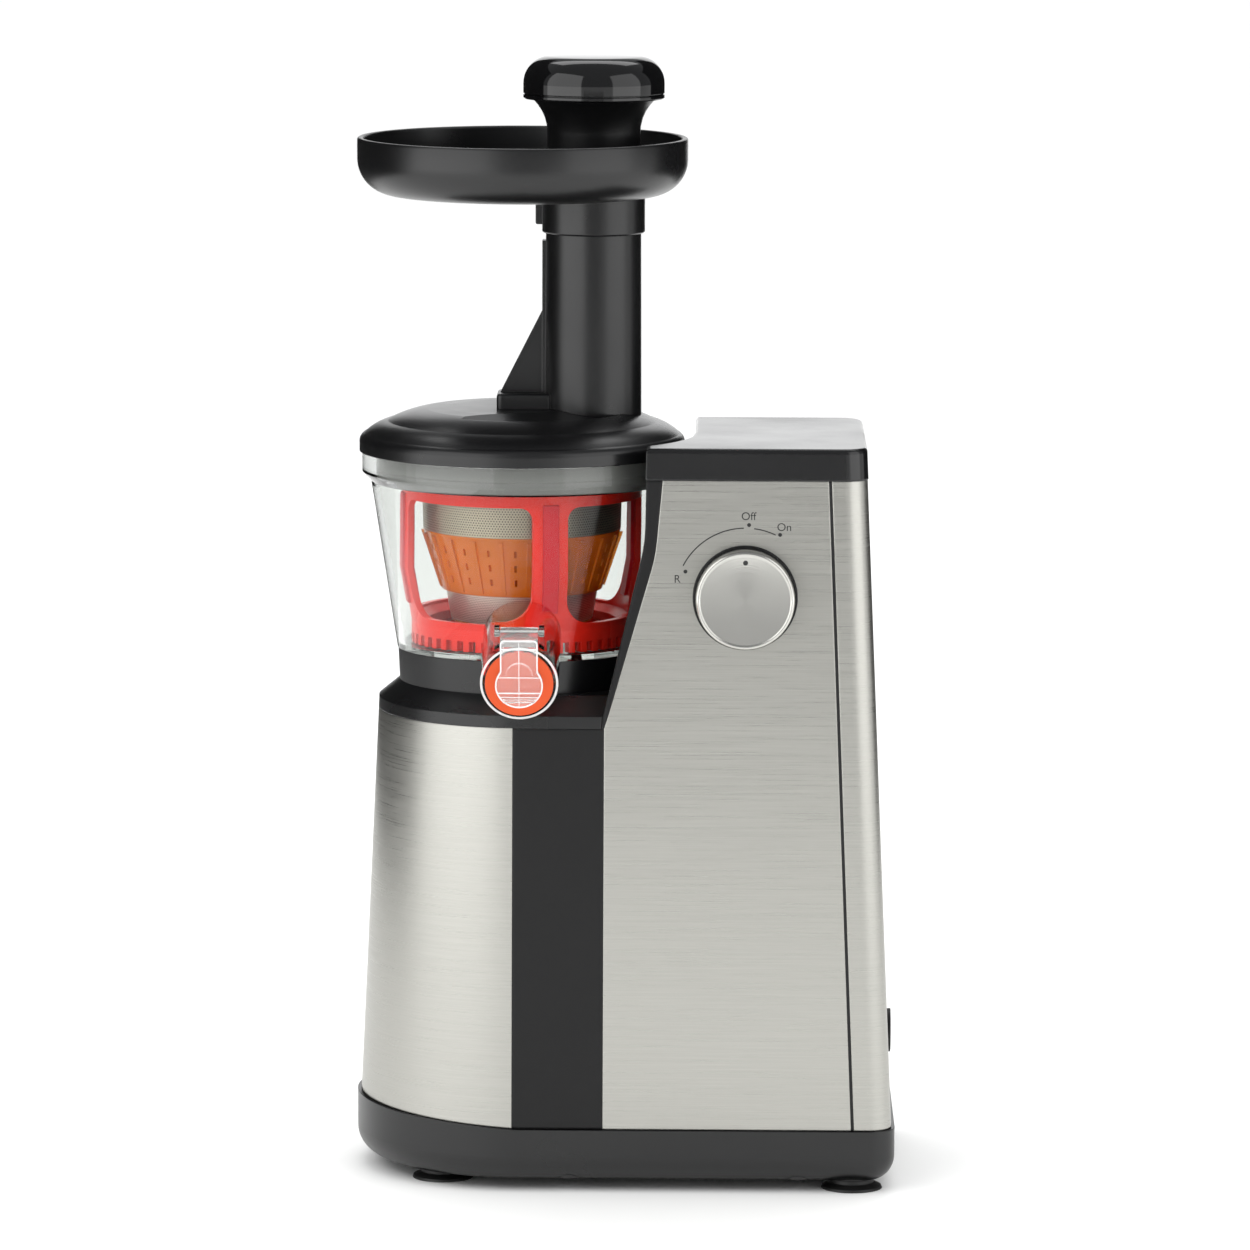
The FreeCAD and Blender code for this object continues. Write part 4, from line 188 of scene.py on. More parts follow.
# the lid's middle is on the bowl's axis, from which the places below are measured
lid_low, lid_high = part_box("lid")
bowl_axis_x = (lid_low[0] + lid_high[0]) / 2 / MM
KNOB_CENTRE = (86.5, -56.956, 230.4)
# the panel leans back by 1.57 degrees
PANEL_OUT = np.array([0.0, -0.999624, 0.027429])
PANEL_UP = np.array([0.0, 0.027429, 0.999624])
ACROSS = np.array([1.0, 0.0, 0.0])
DIAL = (KNOB_CENTRE, ACROSS, PANEL_UP, PANEL_OUT)


def lay_on(points, place):
    """Points (u, v, w) in mm laid in the object's frame: centre + u across + v up + w out.

    A place is its centre, measured from the bowl's axis, and those three directions.
    """
    centre, *directions = place
    return np.array(centre) + (bowl_axis_x, 0.0, 0.0) + points @ np.array(directions)


def grid_faces(rows, columns, first=0):
    """The four corners of each cell of a grid of points numbered row by row."""
    corner = first + (np.arange(rows - 1)[:, None] * columns + np.arange(columns - 1)).ravel()
    return np.stack([corner, corner + 1, corner + columns + 1, corner + columns], axis=1)


def add_piece(name, surfaces, material, body, replaced=(), sharp=38.0):
    """One mesh from several grids of points in mm.

    Edges and poles that meet are merged, faces are turned outwards, and a fold of more than sharp
    degrees stays crisp.
    """
    points, faces, count = [], [], 0
    for surface in surfaces:
        rows, columns = surface.shape[:2]
        points.append(surface.reshape(-1, 3))
        faces.append(grid_faces(rows, columns, count))
        count += rows * columns
    mesh = bpy.data.meshes.new(name)
    mesh.from_pydata((np.concatenate(points) * MM).tolist(), [], np.concatenate(faces).tolist())
    work = bmesh.new()
    work.from_mesh(mesh)
    bmesh.ops.remove_doubles(work, verts=work.verts, dist=MERGE_WITHIN * MM)
    bmesh.ops.recalc_face_normals(work, faces=work.faces)
    work.to_mesh(mesh)
    work.free()
    mesh.shade_smooth()
    mesh.set_sharp_from_angle(angle=radians(sharp))
    mesh.materials.append(material)
    piece = bpy.data.objects.new(name, mesh)
    bpy.context.scene.collection.objects.link(piece)
    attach(piece, body)
    if replaced:
        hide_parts(*replaced)
    return piece


def arc_ribbon(radius, width, first, last, lift):
    """A flat ribbon on a circle: two rows at radius -+ half the width, over angles in degrees."""
    angle = np.radians(np.linspace(first, last, ARC_STEPS))
    rim = radius + np.array([-width / 2, width / 2])[:, None]
    return np.stack([rim * np.cos(angle), rim * np.sin(angle),
                     np.full((2, len(angle)), lift)], axis=2)


def dot(u, v, radius, lift):
    """A flat round dot about (u, v): rows at radius 0 and at its edge."""
    spot = arc_ribbon(radius / 2, radius, 0, 360, lift)
    return spot + np.array([u, v, 0])


INK_LIFT = 0.04
ARC_RADIUS = 26.6
ARC_WIDTH = 0.45
ARC_SPANS = ((91.5, 153.0), (64.5, 83.0))
DOT_RADIUS = 0.75
DOT_PLACES = ((-22.8, 9.9), (1.3, 27.8), (13.1, 24.1))
ink_marks = [arc_ribbon(ARC_RADIUS, ARC_WIDTH, first, last, INK_LIFT) for first, last in ARC_SPANS]
ink_marks += [dot(u, v, DOT_RADIUS, INK_LIFT) for u, v in DOT_PLACES]
# pad-printing ink: matt black with a slightly grainy skin
dial_ink = moulded("pad_printing_ink", "#202020", roughness=0.6, grain_mm=0.4, depth_mm=0.003)
add_piece("dial_marks", [lay_on(mark, DIAL) for mark in ink_marks], dial_ink,
          "housing")

LETTER_HEIGHT = 3.0
CAPITAL_SHARE = 0.7


def printed_word(word, u, v):
    """Flat letters with their middle at (u, v) on the panel: the font's outline as a mesh."""
    font = bpy.data.curves.new(word, "FONT")
    font.body = word
    font.size = LETTER_HEIGHT / CAPITAL_SHARE
    font.align_x = "CENTER"
    font.align_y = "CENTER"
    shown = bpy.data.objects.new(word, font)
    letters = bpy.data.meshes.new_from_object(shown)
    bpy.data.objects.remove(shown)
    flat = np.array([corner.co[:] for corner in letters.vertices]) + (u, v, INK_LIFT)
    letters.vertices.foreach_set("co", (lay_on(flat, DIAL) * MM).ravel())
    letters.materials.clear()
    letters.materials.append(dial_ink)
    piece = bpy.data.objects.new("dial_letters_" + word, letters)
    bpy.context.scene.collection.objects.link(piece)
    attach(piece, "housing")


printed_word("R", u=-25.9, v=6.9)
printed_word("Off", u=1.1, v=31.0)
printed_word("On", u=14.7, v=26.9)

# End panel and cord inlet: a louvred panel that closes the tower's end, moulded in the tray's
# black ABS, and a rubber grommet pushed through it.

finish_node("end_panel", satin_abs)
finish_node("cord_grommet", foot_rubber)

# Chassis: the housing's inner shell, moulded in black ABS. The sheets are held on it, and it
# shows as the grained stripe in front, the wing's trim and the wall of the bay.

# ABS with a coarse etched grain: black, and duller than the tray
grained_abs = moulded("grained_black_abs", "#0e0e0f", roughness=0.42, grain_mm=0.9, depth_mm=0.03,
                      edge_mm=1.6, shine=0.32)
finish_node("chassis_frame", grained_abs)

# Tower cap: a cover moulded in black ABS and snapped over the top of the tower, with a
# glossier skin than the tray's.

# ABS from a polished mould: black, with narrow bright highlights
cap_abs = moulded("smooth_black_abs", "#101011", roughness=0.2, grain_mm=0.8, depth_mm=0.002,
                  edge_mm=0.9)
finish_node("tower_cap", cap_abs)

# Shoulder cover and seat ring: the deck under the bowl and the ring that the bowl stands on,
# both moulded in the tray's black ABS and fixed down over the gearbox.

finish_node("shoulder_cover", satin_abs)
finish_node("bowl_seat_ring", satin_abs)

# Works: motor, gear train, switch and capacitor inside the housing, each in its usual metal or
# plastic and screwed to its bracket or plate, with the small gears, pins and seals of the bowl.

# machined and stamped metals are brushed, so they glint in fine lines
works_steel = brushed_steel("ground_shaft_steel", "#b4b4b2", roughness=0.25)
zinc_plate = brushed_steel("zinc_plated_steel", "#c9ccd0", roughness=0.38)
copper_wire = brushed_steel("enamelled_copper_wire", "#a4562c", roughness=0.35)
core_plates = brushed_steel("stacked_core_plates", "#6b6b6d", roughness=0.45)
bronze = brushed_steel("sintered_bronze", "#9c7648", roughness=0.42)
# moulded plastics have an even colour with a soft sheen, and rubber hardly any
grey_nylon = moulded("glass_filled_nylon", "#4a4a4c", roughness=0.5, grain_mm=0.7, depth_mm=0.02)
white_acetal = moulded("white_acetal", "#d9d7cf", roughness=0.35, grain_mm=1.5, depth_mm=0.004,
                       ior=1.48)
seal_rubber = moulded("grey_seal_rubber", "#5d5d5b", roughness=0.5, grain_mm=0.9, depth_mm=0.01,
                      ior=1.52)
works = {
    works_steel: ("reduction_pin", "motor_shaft", "motor_pinion", "drive_shaft", "juice_cap_pin",
                  "idler_pins", "auger_top_pin", "switch_spindle"),
    zinc_plate: ("gearbox_screws", "housing_screws", "motor_studs", "motor_bracket",
                 "capacitor_clip"),
    grey_nylon: ("gearbox_plate", "gearbox_cover", "cooling_fan", "rotary_switch"),
    white_acetal: ("reduction_gear", "output_gear", "run_capacitor", "idler_gear_left",
                   "idler_gear_right"),
    copper_wire: ("motor_windings",),
    core_plates: ("motor_stator", "motor_rotor"),
    bronze: ("drive_bearings", "motor_bearings", "lid_bush"),
    seal_rubber: ("shaft_seal", "bowl_hub_seal", "pulp_damper"),
}
for material, names in works.items():
    for name in names:
        finish_node(name, material)

# Bowl and pulp duct: clear copolyester, moulded smooth, with a thick wall that lets the lamps
# through. The duct is welded on the bowl's back.

FLOW_SIZE = 18.0
FLOW_DEPTH = 0.02


def clear_plastic(name, colour, roughness=0.02, clear=1.0):
    """A clear moulded plastic that light passes through.

    Its height is a noise with cells of FLOW_SIZE, FLOW_DEPTH high, as a melt flows into its mould.
    The grey tint makes its reflections as faint as they are on the object.
    """
    material, tree, shader, place = start_material(
        name, Base_Color=linear(colour), Roughness=roughness, IOR=1.54,
        Transmission_Weight=clear, Specular_Tint=linear("#a0a0a0"))
    flow = add_node(tree, "TexNoise", inputs={"Vector": place, "Scale": 1 / (FLOW_SIZE * MM),
                                              "Detail": 1.0})
    bump = add_node(tree, "Bump", inputs={"Height": flow.outputs["Fac"],
                                          "Distance": FLOW_DEPTH * MM, "Strength": 0.5})
    tree.links.new(bump.outputs["Normal"], shader.inputs["Normal"])
    return material


# clear copolyester: faintly grey, with bright lines only where the wall is seen along its length
clear_copolyester = clear_plastic("clear_copolyester", "#eaecea")
for name in ("juicing_bowl", "pulp_duct"):
    finish_node(name, clear_copolyester)
    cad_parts[name].visible_shadow = False

# Drip-stop lever: a plate, an arm and a grip moulded in one, in clear copolyester, with raised
# rims and bars. It is hinged on a steel pin behind the spout's mouth.

MOUTH_TILT = radians(14.6)
MOUTH_OUT = np.array([0.0, -cos(MOUTH_TILT), -sin(MOUTH_TILT)])
MOUTH_UP = np.array([0.0, -sin(MOUTH_TILT), cos(MOUTH_TILT)])
MOUTH = ((1.5, -92.160, 202.358), ACROSS, MOUTH_UP, MOUTH_OUT)


def round_corner(centre, radius, first, last, steps=8):
    """Points on an arc about a centre, from one angle in degrees to another."""
    angle = np.radians(np.linspace(first, last, steps))
    return np.stack([centre[0] + radius * np.cos(angle),
                     centre[1] + radius * np.sin(angle)], axis=1)


def rounded_box(low, high, radius, steps):
    """An outline about the box from low to high: a quarter circle round each of its corners."""
    centres = (low, (high[0], low[1]), high, (low[0], high[1]))
    return np.concatenate([round_corner(centre, radius, first, first + 90, steps)
                           for centre, first in zip(centres, (180, 270, 0, 90))])


def inset(outline, depth):
    """A closed outline moved inwards: each point slides along its two edges' mean normal."""
    edge = np.roll(outline, -1, axis=0) - outline
    normal = np.stack([-edge[:, 1], edge[:, 0]], axis=1)
    normal /= np.linalg.norm(normal, axis=1)[:, None]
    mean = normal + np.roll(normal, 1, axis=0)
    mean /= np.linalg.norm(mean, axis=1)[:, None]
    return outline + depth * mean


def stepped(outline, steps):
    """Rows of a closed outline, inset by each step's depth and lifted to its height."""
    return [np.column_stack([inset(outline, depth), np.full(len(outline), height)])
            for depth, height in steps]


def closed_rows(rows):
    """Rows of points as one grid, whose first column comes once more at its end."""
    grid = np.stack(rows)
    return np.concatenate([grid, grid[:, :1]], axis=1)


def plate(outline, steps, spine):
    """A plate with a stepped edge, whose two faces close on a spine.

    The outline runs anticlockwise. The first and last rows lie on the spine, the segment from
    (0, low) to (0, high), where each point keeps the outline point's height, held between the
    spine's ends.
    """
    middle = np.stack([np.zeros(len(outline)), np.clip(outline[:, 1], *spine)], axis=1)
    rows = stepped(outline, steps)
    ends = [np.column_stack([middle, row[:, 2]]) for row in (rows[0], rows[-1])]
    return closed_rows([ends[0], *rows, ends[1]])


END_SCALE = 0.94


def swept_bar(section, ends, edge=0.3):
    """A capped bar along u: the section (v, w) carried from end to end.

    Over the last edge at each end it is drawn in to END_SCALE of its size about its middle.
    """
    centre = section.mean(axis=0)
    places = [ends[0], ends[0], ends[0] + edge, ends[1] - edge, ends[1], ends[1]]
    scales = [0.0, END_SCALE, 1.0, 1.0, END_SCALE, 0.0]
    return closed_rows([np.column_stack([np.full(len(section), u),
                                         centre + (section - centre) * scale])
                        for u, scale in zip(places, scales)])


LEVER_RADIUS = 9.0
LEVER_HALF = 7.1
LEVER_TOP = 18.5
LEVER_CORNER = 1.6
STRAIGHT_SIDE = (9.5, 13.0)
PLATE_SPINE = (0.0, 16.0)
# the plate's edge from back to front: how far in, and how far out of the mouth's plane
PLATE_STEPS = ((0.3, 1.0), (0.0, 1.3), (0.0, 2.65), (0.15, 2.8), (1.1, 2.8), (1.3, 2.5))
side_meets_arc = np.degrees(np.arccos(LEVER_HALF / LEVER_RADIUS))
# half of the outline: an arc below, a straight side and a rounded corner above
right_half = np.concatenate([
    round_corner((0, 0), LEVER_RADIUS, -90, side_meets_arc, 30),
    [(LEVER_HALF, v) for v in STRAIGHT_SIDE],
    round_corner((LEVER_HALF - LEVER_CORNER, LEVER_TOP - LEVER_CORNER), LEVER_CORNER, 0, 90),
])
left_half = (right_half * (-1, 1))[::-1][:-1]
lever_outline = np.concatenate([right_half, left_half])
front_plate = plate(lever_outline, PLATE_STEPS, PLATE_SPINE)

HINGE_UP = 17.5
HINGE_BACK = 7.0
HUB_RADIUS = 2.2
ARM_LOW = 15.3
ARM_FRONT = 1.1
# the arm's section (v, w), from the plate back to the hub round the pin
hub_section = np.concatenate([
    [(ARM_LOW, ARM_FRONT), (ARM_LOW, -HINGE_BACK)],
    round_corner((-HINGE_BACK, HINGE_UP), HUB_RADIUS, 270, 27, 16)[:, ::-1],
    [(LEVER_TOP, ARM_FRONT)],
])
top_arm = swept_bar(hub_section, (-LEVER_HALF, LEVER_HALF))

GRIP_ROUND = 0.3
GRIP_HALF = LEVER_HALF - 1
grip_section = rounded_box((-6.1, 2.8), (-5.5, 4.3), GRIP_ROUND, 4)
grip_bar = swept_bar(grip_section, (-GRIP_HALF, GRIP_HALF))
lever_parts = (front_plate, top_arm, grip_bar)
# clear copolyester with a slightly matt skin: milky next to the bowl
lever_plastic = clear_plastic("clear_lever_copolyester", "#fbfbfa", roughness=0.06, clear=0.9)
lever = add_piece("drip_stop_lever", [lay_on(part, MOUTH) for part in lever_parts],
                  lever_plastic, "drip_stop", ["juice_cap"], sharp=30)
lever.visible_shadow = False

RIM_FOOT = 2.6
RIM_TOP = 3.0
RIM_WIDTH = 0.55


def raised_band(outline, width, height):
    """A low bead that follows a closed outline: a box section between it and its inset."""
    return closed_rows(stepped(outline, ((0.0, RIM_FOOT), (0.0, height), (width, height),
                                         (width, RIM_FOOT), (0.0, RIM_FOOT))))


def raised_bar(low, high):
    """A low straight bar between two corners (u, v), as a swept section."""
    section = np.array([(low[1], RIM_FOOT), (high[1], RIM_FOOT), (high[1], RIM_TOP),
                        (low[1], RIM_TOP)])
    return swept_bar(section, (low[0], high[0]), edge=0.1)


MOON_CENTRE = (0, 4.2)
MOON_OUTER = 5.2
MOON_INNER = 4.8
MOON_WIDTH = 0.02
# the half-moon line above the lever's middle, as a thin band
half_moon = np.concatenate([round_corner(MOON_CENTRE, MOON_OUTER, 0, 180, 24),
                            round_corner(MOON_CENTRE, MOON_INNER, 180, 0, 24)])
# one upright bar down the middle, then the level ones
BAR_CORNERS = (((-0.14, -8.6), (0.14, 17.8)), ((-7.9, 3.2), (7.9, 3.4)),
               ((-8.1, -3.2), (8.1, -2.8)), ((-7.2, -4.8), (7.2, -4.6)),
               ((-6.7, 14.6), (6.7, 15.0)))
edge_parts = [raised_band(lever_outline, RIM_WIDTH, RIM_TOP),
              raised_band(half_moon[:-1], MOON_WIDTH, RIM_TOP - 0.02)]
edge_parts += [raised_bar(low, high) for low, high in BAR_CORNERS]
# painted highlight: the same plastic drawn whiter and less clear, where light piped inside comes
# out at the edges
painted_highlight_edges = clear_plastic("painted_highlight_plastic_edges", "#ffffff", roughness=0.2, clear=0.5)
# the rims and bars are drawn in that painted-highlight plastic
lever_edges = add_piece("lever_rims", [lay_on(part, MOUTH) for part in edge_parts], painted_highlight_edges,
                        "drip_stop")
lever_edges.visible_shadow = False

# Spout rim: the front edge of the ring round the spout's mouth, which is the bowl's own clear
# plastic. Light piped along the wall comes out there, so a thin white band is laid on it as a
# painted highlight.

SPOUT_INNER = 13.9
SPOUT_OUTER = 14.75
SPOUT_LOW = 0.02
SPOUT_HIGH = 0.1
SPOUT_STEPS = 96


def turned(profile, steps):
    """A profile (radius, out) turned once round: (radius cos a, radius sin a, out)."""
    table = np.array(profile)
    angle = np.linspace(0, 2 * pi, steps + 1)
    return np.stack([table[:, :1] * np.cos(angle), table[:, :1] * np.sin(angle),
                     np.repeat(table[:, 1:], steps + 1, axis=1)], axis=2)


rim_profile = [(SPOUT_INNER, SPOUT_LOW), (SPOUT_INNER, SPOUT_HIGH), (SPOUT_OUTER, SPOUT_HIGH),
               (SPOUT_OUTER, SPOUT_LOW), (SPOUT_INNER, SPOUT_LOW)]
spout_rim_painted_highlight = add_piece("spout_rim_painted_highlight", [lay_on(turned(rim_profile, SPOUT_STEPS), MOUTH)], painted_highlight_edges,
                      "bowl")
spout_rim_painted_highlight.visible_shadow = False

# Juice cap plug: a stopper moulded in orange silicone, pressed into the spout's mouth behind
# the lever.

# silicone: a strong even orange with a soft sheen
orange_silicone = moulded("orange_silicone", "#d24c17", roughness=0.35, grain_mm=1.2,
                          depth_mm=0.004, ior=1.42)
finish_node("juice_cap_seal", orange_silicone)

# Brush cage and wipers: a cage moulded in red ABS, which turns round the strainer, and four
# strips of softer red silicone pushed into its posts.

# ABS with a glossy skin: bright red with a clear highlight
red_abs = moulded("gloss_red_abs", "#fb2a1c", roughness=0.25, grain_mm=6.0, depth_mm=0.004,
                  shine=0.25)
finish_node("brush_cage", red_abs)
# silicone: a deeper red, and duller than the cage
red_silicone = moulded("red_silicone", "#dc1c2c", roughness=0.42, grain_mm=6.0, depth_mm=0.004,
                       ior=1.42, shine=0.3)
finish_node("wiper_blades", red_silicone)

# Strainer and auger: both moulded in amber polyetherimide. Punched steel sheet, fine below and
# coarser above, is moulded into the strainer's frame.

# polyetherimide: a warm amber that some light comes through, with a clear highlight
amber = moulded("amber_polyetherimide", "#ff960a", roughness=0.14, grain_mm=6.0, depth_mm=0.004,
                ior=1.6, edge_mm=0.3, shine=0.2, clear=0.6)
for name in ("strainer_frame", "auger"):
    finish_node(name, amber)
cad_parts["strainer_frame"].visible_shadow = False

ROW_SHARE = 0.866
HOLE_RADIUS = 0.22
SHEET_RADIUS = 0.32


def punched_sheet(name, colour, radius, pitch):
    """Steel sheet with rows of punched holes, laid out by the angle round the bowl and the height.

    The angle times a mean radius and the height are divided by the pitch, and every second row is
    shifted by half of it, so each hole's middle is a whole cell. The distance to that middle is
    found in cells: under HOLE_RADIUS the sheet is painted dark, as painted shade for the shaded
    inside seen through the hole, and past SHEET_RADIUS it is bare.
    """
    material, tree, shader, place = start_material(name, Base_Color=linear(colour), Metallic=1.0,
                                                   Roughness=0.42)
    centred = add_node(tree, "Mapping", inputs={"Vector": place,
                                                "Location": (-bowl_axis_x * MM, 0, 0)})
    axes = add_node(tree, "SeparateXYZ", inputs={"Vector": centred.outputs["Vector"]}).outputs
    values = {"x": axes["X"], "y": axes["Y"], "z": axes["Z"]}
    for result, operation, first, second in (
            ("turn", "ARCTAN2", "y", "x"),
            ("column", "MULTIPLY", "turn", round(2 * pi * radius / pitch) / (2 * pi)),
            ("row", "DIVIDE", "z", pitch * MM * ROW_SHARE),
            ("row_below", "FLOOR", "row", 0.0),
            ("odd_row", "MODULO", "row_below", 2.0),
            ("shift", "MULTIPLY", "odd_row", 0.5),
            ("shifted", "ADD", "column", "shift"),
            ("in_column", "FRACT", "shifted", 0.0),
            ("across", "SUBTRACT", "in_column", 0.5),
            ("in_row", "FRACT", "row", 0.0),
            ("up_cells", "SUBTRACT", "in_row", 0.5),
            ("upward", "MULTIPLY", "up_cells", ROW_SHARE),
            ("across_squared", "MULTIPLY", "across", "across"),
            ("upward_squared", "MULTIPLY", "upward", "upward"),
            ("away_squared", "ADD", "across_squared", "upward_squared"),
            ("away", "SQRT", "away_squared", 0.0)):
        step = add_node(tree, "Math", {"operation": operation},
                        {0: values.get(first, first), 1: values.get(second, second)})
        values[result] = step.outputs[0]
    bare = add_node(tree, "MapRange", inputs={
        "Value": values["away"], "From Min": HOLE_RADIUS, "From Max": SHEET_RADIUS,
        "To Min": 0.0, "To Max": 1.0}).outputs["Result"]
    # the holes' dark grey is painted shade: the shaded inside seen through them
    base = add_node(tree, "Mix", {"data_type": "RGBA"}, {
        "Factor": bare, FIRST_COLOUR: linear("#6e665c"), SECOND_COLOUR: linear(colour)})
    tree.links.new(base.outputs[MIXED_COLOUR], shader.inputs["Base Color"])
    bump = add_node(tree, "Bump", inputs={"Height": bare, "Distance": 0.1 * MM, "Strength": 0.7})
    tree.links.new(bump.outputs["Normal"], shader.inputs["Normal"])
    return material


# punched stainless: a dull grey field of dark dots, whose dark is painted shade. The lower sheet's
# real holes are finer, and
# 0.8 mm apart is as coarse as they need to be to show.
# the lower sheet's pale colour is painted light: a painted reflection of the bright floor below
lower_sheet_painted_light = punched_sheet("fine_punched_stainless", "#ece8de", radius=30.0, pitch=0.8)
finish_node("strainer_mesh_lower", lower_sheet_painted_light)
# the upper sheet's darker colour is painted shade: the dark walls round it seen in the steel
upper_sheet_painted_shade = punched_sheet("punched_stainless", "#b9af9d", radius=38.0, pitch=1.1)
finish_node("strainer_mesh_upper", upper_sheet_painted_shade)

# Lid: the black domed shell, moulded in ABS with the tray's satin skin, and the feed chute of
# the same plastic welded on it.

finish_node("lid", satin_abs)
finish_node("feed_chute", satin_abs)

# Lid gasket: a thin sleeve of pale silicone, moulded and stretched on the lid's spigot. It is
# seen through the bowl's clear band.

TURN_STEPS = 160


def ring_stack(rings, closed=False):
    """Level circles in mm, joined one to the next about the bowl's axis.

    A ring is its centre's x, its radius and its height: (x + radius cos a, radius sin a, height).
    """
    angle = np.linspace(0, 2 * pi, TURN_STEPS + 1)
    table = np.array([*rings, *rings[:1]] if closed else rings)
    centre, radius, height = (table[:, i:i + 1] for i in range(3))
    return np.stack([centre + bowl_axis_x + radius * np.cos(angle), radius * np.sin(angle),
                     height * np.ones_like(angle)], axis=2)


# silicone: pale grey with a soft sheen
grey_silicone = moulded("pale_silicone", "#8b8b89", roughness=0.4, grain_mm=1.2, depth_mm=0.004,
                        ior=1.42)
# the sleeve's section (radius, height): a thick foot, and a thinner wall above it, further out
GASKET_SECTION = ((56.34, 274.1), (55.3, 273.9), (55.3, 270.4), (55.9, 270.4), (55.95, 273.6),
                  (56.52, 274.2), (56.52, 279.6), (56.34, 279.8))
gasket_rings = [(0, radius, height) for radius, height in GASKET_SECTION]
add_piece("lid_gasket", [ring_stack(gasket_rings, closed=True)], grey_silicone,
          "lid_assembly")

# Feed tray: a wide round dish moulded in the lid's black ABS. Its collar drops over the feed
# tube, off the dish's middle, and has a small tab on its left.

FEED_X = 27.4
TRAY_RADIUS = 63.8
TRAY_BEND = 14.0
TRAY_LOW = 379.2
TRAY_FLOOR = 380.4
TRAY_TOP = 401.2
TRAY_WALL = 2.4
LIP = 1.0
flat_radius = TRAY_RADIUS - TRAY_BEND
outer_bend = round_corner((flat_radius, TRAY_LOW + TRAY_BEND), TRAY_BEND, -90, 0, 16)
lip_round = np.concatenate([
    round_corner((TRAY_RADIUS - LIP, TRAY_TOP - LIP), LIP, 0, 90, 6),
    round_corner((TRAY_RADIUS - TRAY_WALL + LIP, TRAY_TOP - LIP), LIP, 90, 180, 6)])
# the inside's bend is a quarter of an ellipse, since the floor is thinner than the wall
quarter = np.radians(np.linspace(0, -90, 16))
inner_bend = np.stack([
    flat_radius + (TRAY_BEND - TRAY_WALL) * np.cos(quarter),
    TRAY_LOW + TRAY_BEND + (TRAY_LOW + TRAY_BEND - TRAY_FLOOR) * np.sin(quarter)], axis=1)

COLLAR_RADIUS = 19.85
COLLAR_BORE = 17.5
COLLAR_LOW = 364.6
COLLAR_CHAMFER = 0.5
COLLAR_FLARE = 0.8
tray_rings = [(FEED_X, COLLAR_BORE, COLLAR_LOW),
              (FEED_X, COLLAR_RADIUS - COLLAR_CHAMFER, COLLAR_LOW),
              (FEED_X, COLLAR_RADIUS, COLLAR_LOW + COLLAR_CHAMFER),
              (FEED_X, COLLAR_RADIUS, TRAY_LOW - COLLAR_FLARE),
              (FEED_X, COLLAR_RADIUS + COLLAR_FLARE, TRAY_LOW)]
tray_rings += [(0, radius, height)
               for radius, height in np.concatenate([outer_bend, lip_round, inner_bend])]
tray_rings += [(FEED_X, COLLAR_BORE, TRAY_FLOOR)]

TAB_HALF = 3.0
TAB_ROUND = 0.8
TAB_X = FEED_X - COLLAR_RADIUS - 0.6
tab_outline = rounded_box((-1.1, 368.6), (2.4, 378.2), TAB_ROUND, 5)
tab = swept_bar(tab_outline[:, ::-1], (-TAB_HALF, TAB_HALF))
tab = np.stack([bowl_axis_x + TAB_X + tab[..., 2], tab[..., 0], tab[..., 1]], axis=2)
add_piece("feed_dish", [ring_stack(tray_rings, closed=True), tab], satin_abs,
          "tray", ["feed_tray"])

# Pusher: a hollow stem with a flared neck, moulded in the tray's satin ABS, and a domed cap in
# glossy ABS pressed on it.

# the stem's outside, from its closed foot up to the flare, and then its inside (radius, height)
STEM_SECTION = ((0, 306), (14.4, 306), (15.4, 307), (15.4, 379.1), (17.5, 379.1), (17.95, 379.5),
                (17.95, 403.5), (18.2, 406), (18.9, 408.8), (20.1, 411.5), (21.8, 414),
                (23.8, 416.3), (13.4, 416.3), (13.4, 308), (0, 308))
add_piece("pusher_tube", [ring_stack([(FEED_X, *point) for point in STEM_SECTION])], satin_abs,
          "pusher", ["pusher_stem"], sharp=30)

CAP_RADIUS = 27.4
CAP_TOP = 432.6
CAP_SHOULDER = 10.5
CAP_LINE = 0.45
# the cap's section: its underside, a fine line cut round it, its shoulder and its dome
cap_section = [(0, 427), (21.4, 427), (21.4, 416.3), (26.9, 416.3), (CAP_RADIUS, 416.8),
               (CAP_RADIUS, 417.9), (CAP_RADIUS - CAP_LINE, 418.0),
               (CAP_RADIUS - CAP_LINE, 418.4), (CAP_RADIUS, 418.5)]
cap_section += round_corner((CAP_RADIUS - CAP_SHOULDER, CAP_TOP - CAP_SHOULDER), CAP_SHOULDER,
                            0, 86, 24).tolist()
cap_section += [(12.0, 432.85), (6.0, 432.97), (0, 433.0)]
# ABS from a mirror-polished mould: black, and it shows the lamps as sharp shapes
gloss_abs = moulded("gloss_black_abs", "#0b0b0c", roughness=0.07, grain_mm=3.0, depth_mm=0.001,
                    worn=0.02)
add_piece("pusher_dome", [ring_stack([(FEED_X, *point) for point in cap_section])], gloss_abs,
          "pusher", ["pusher_cap"], sharp=30)

# Knob: aluminium turned on a lathe, with a spun face and a printed pointer dot. It is pushed on
# the switch's spindle over a thin seat in glossy ABS.

finish_node("dial_seat", gloss_abs)


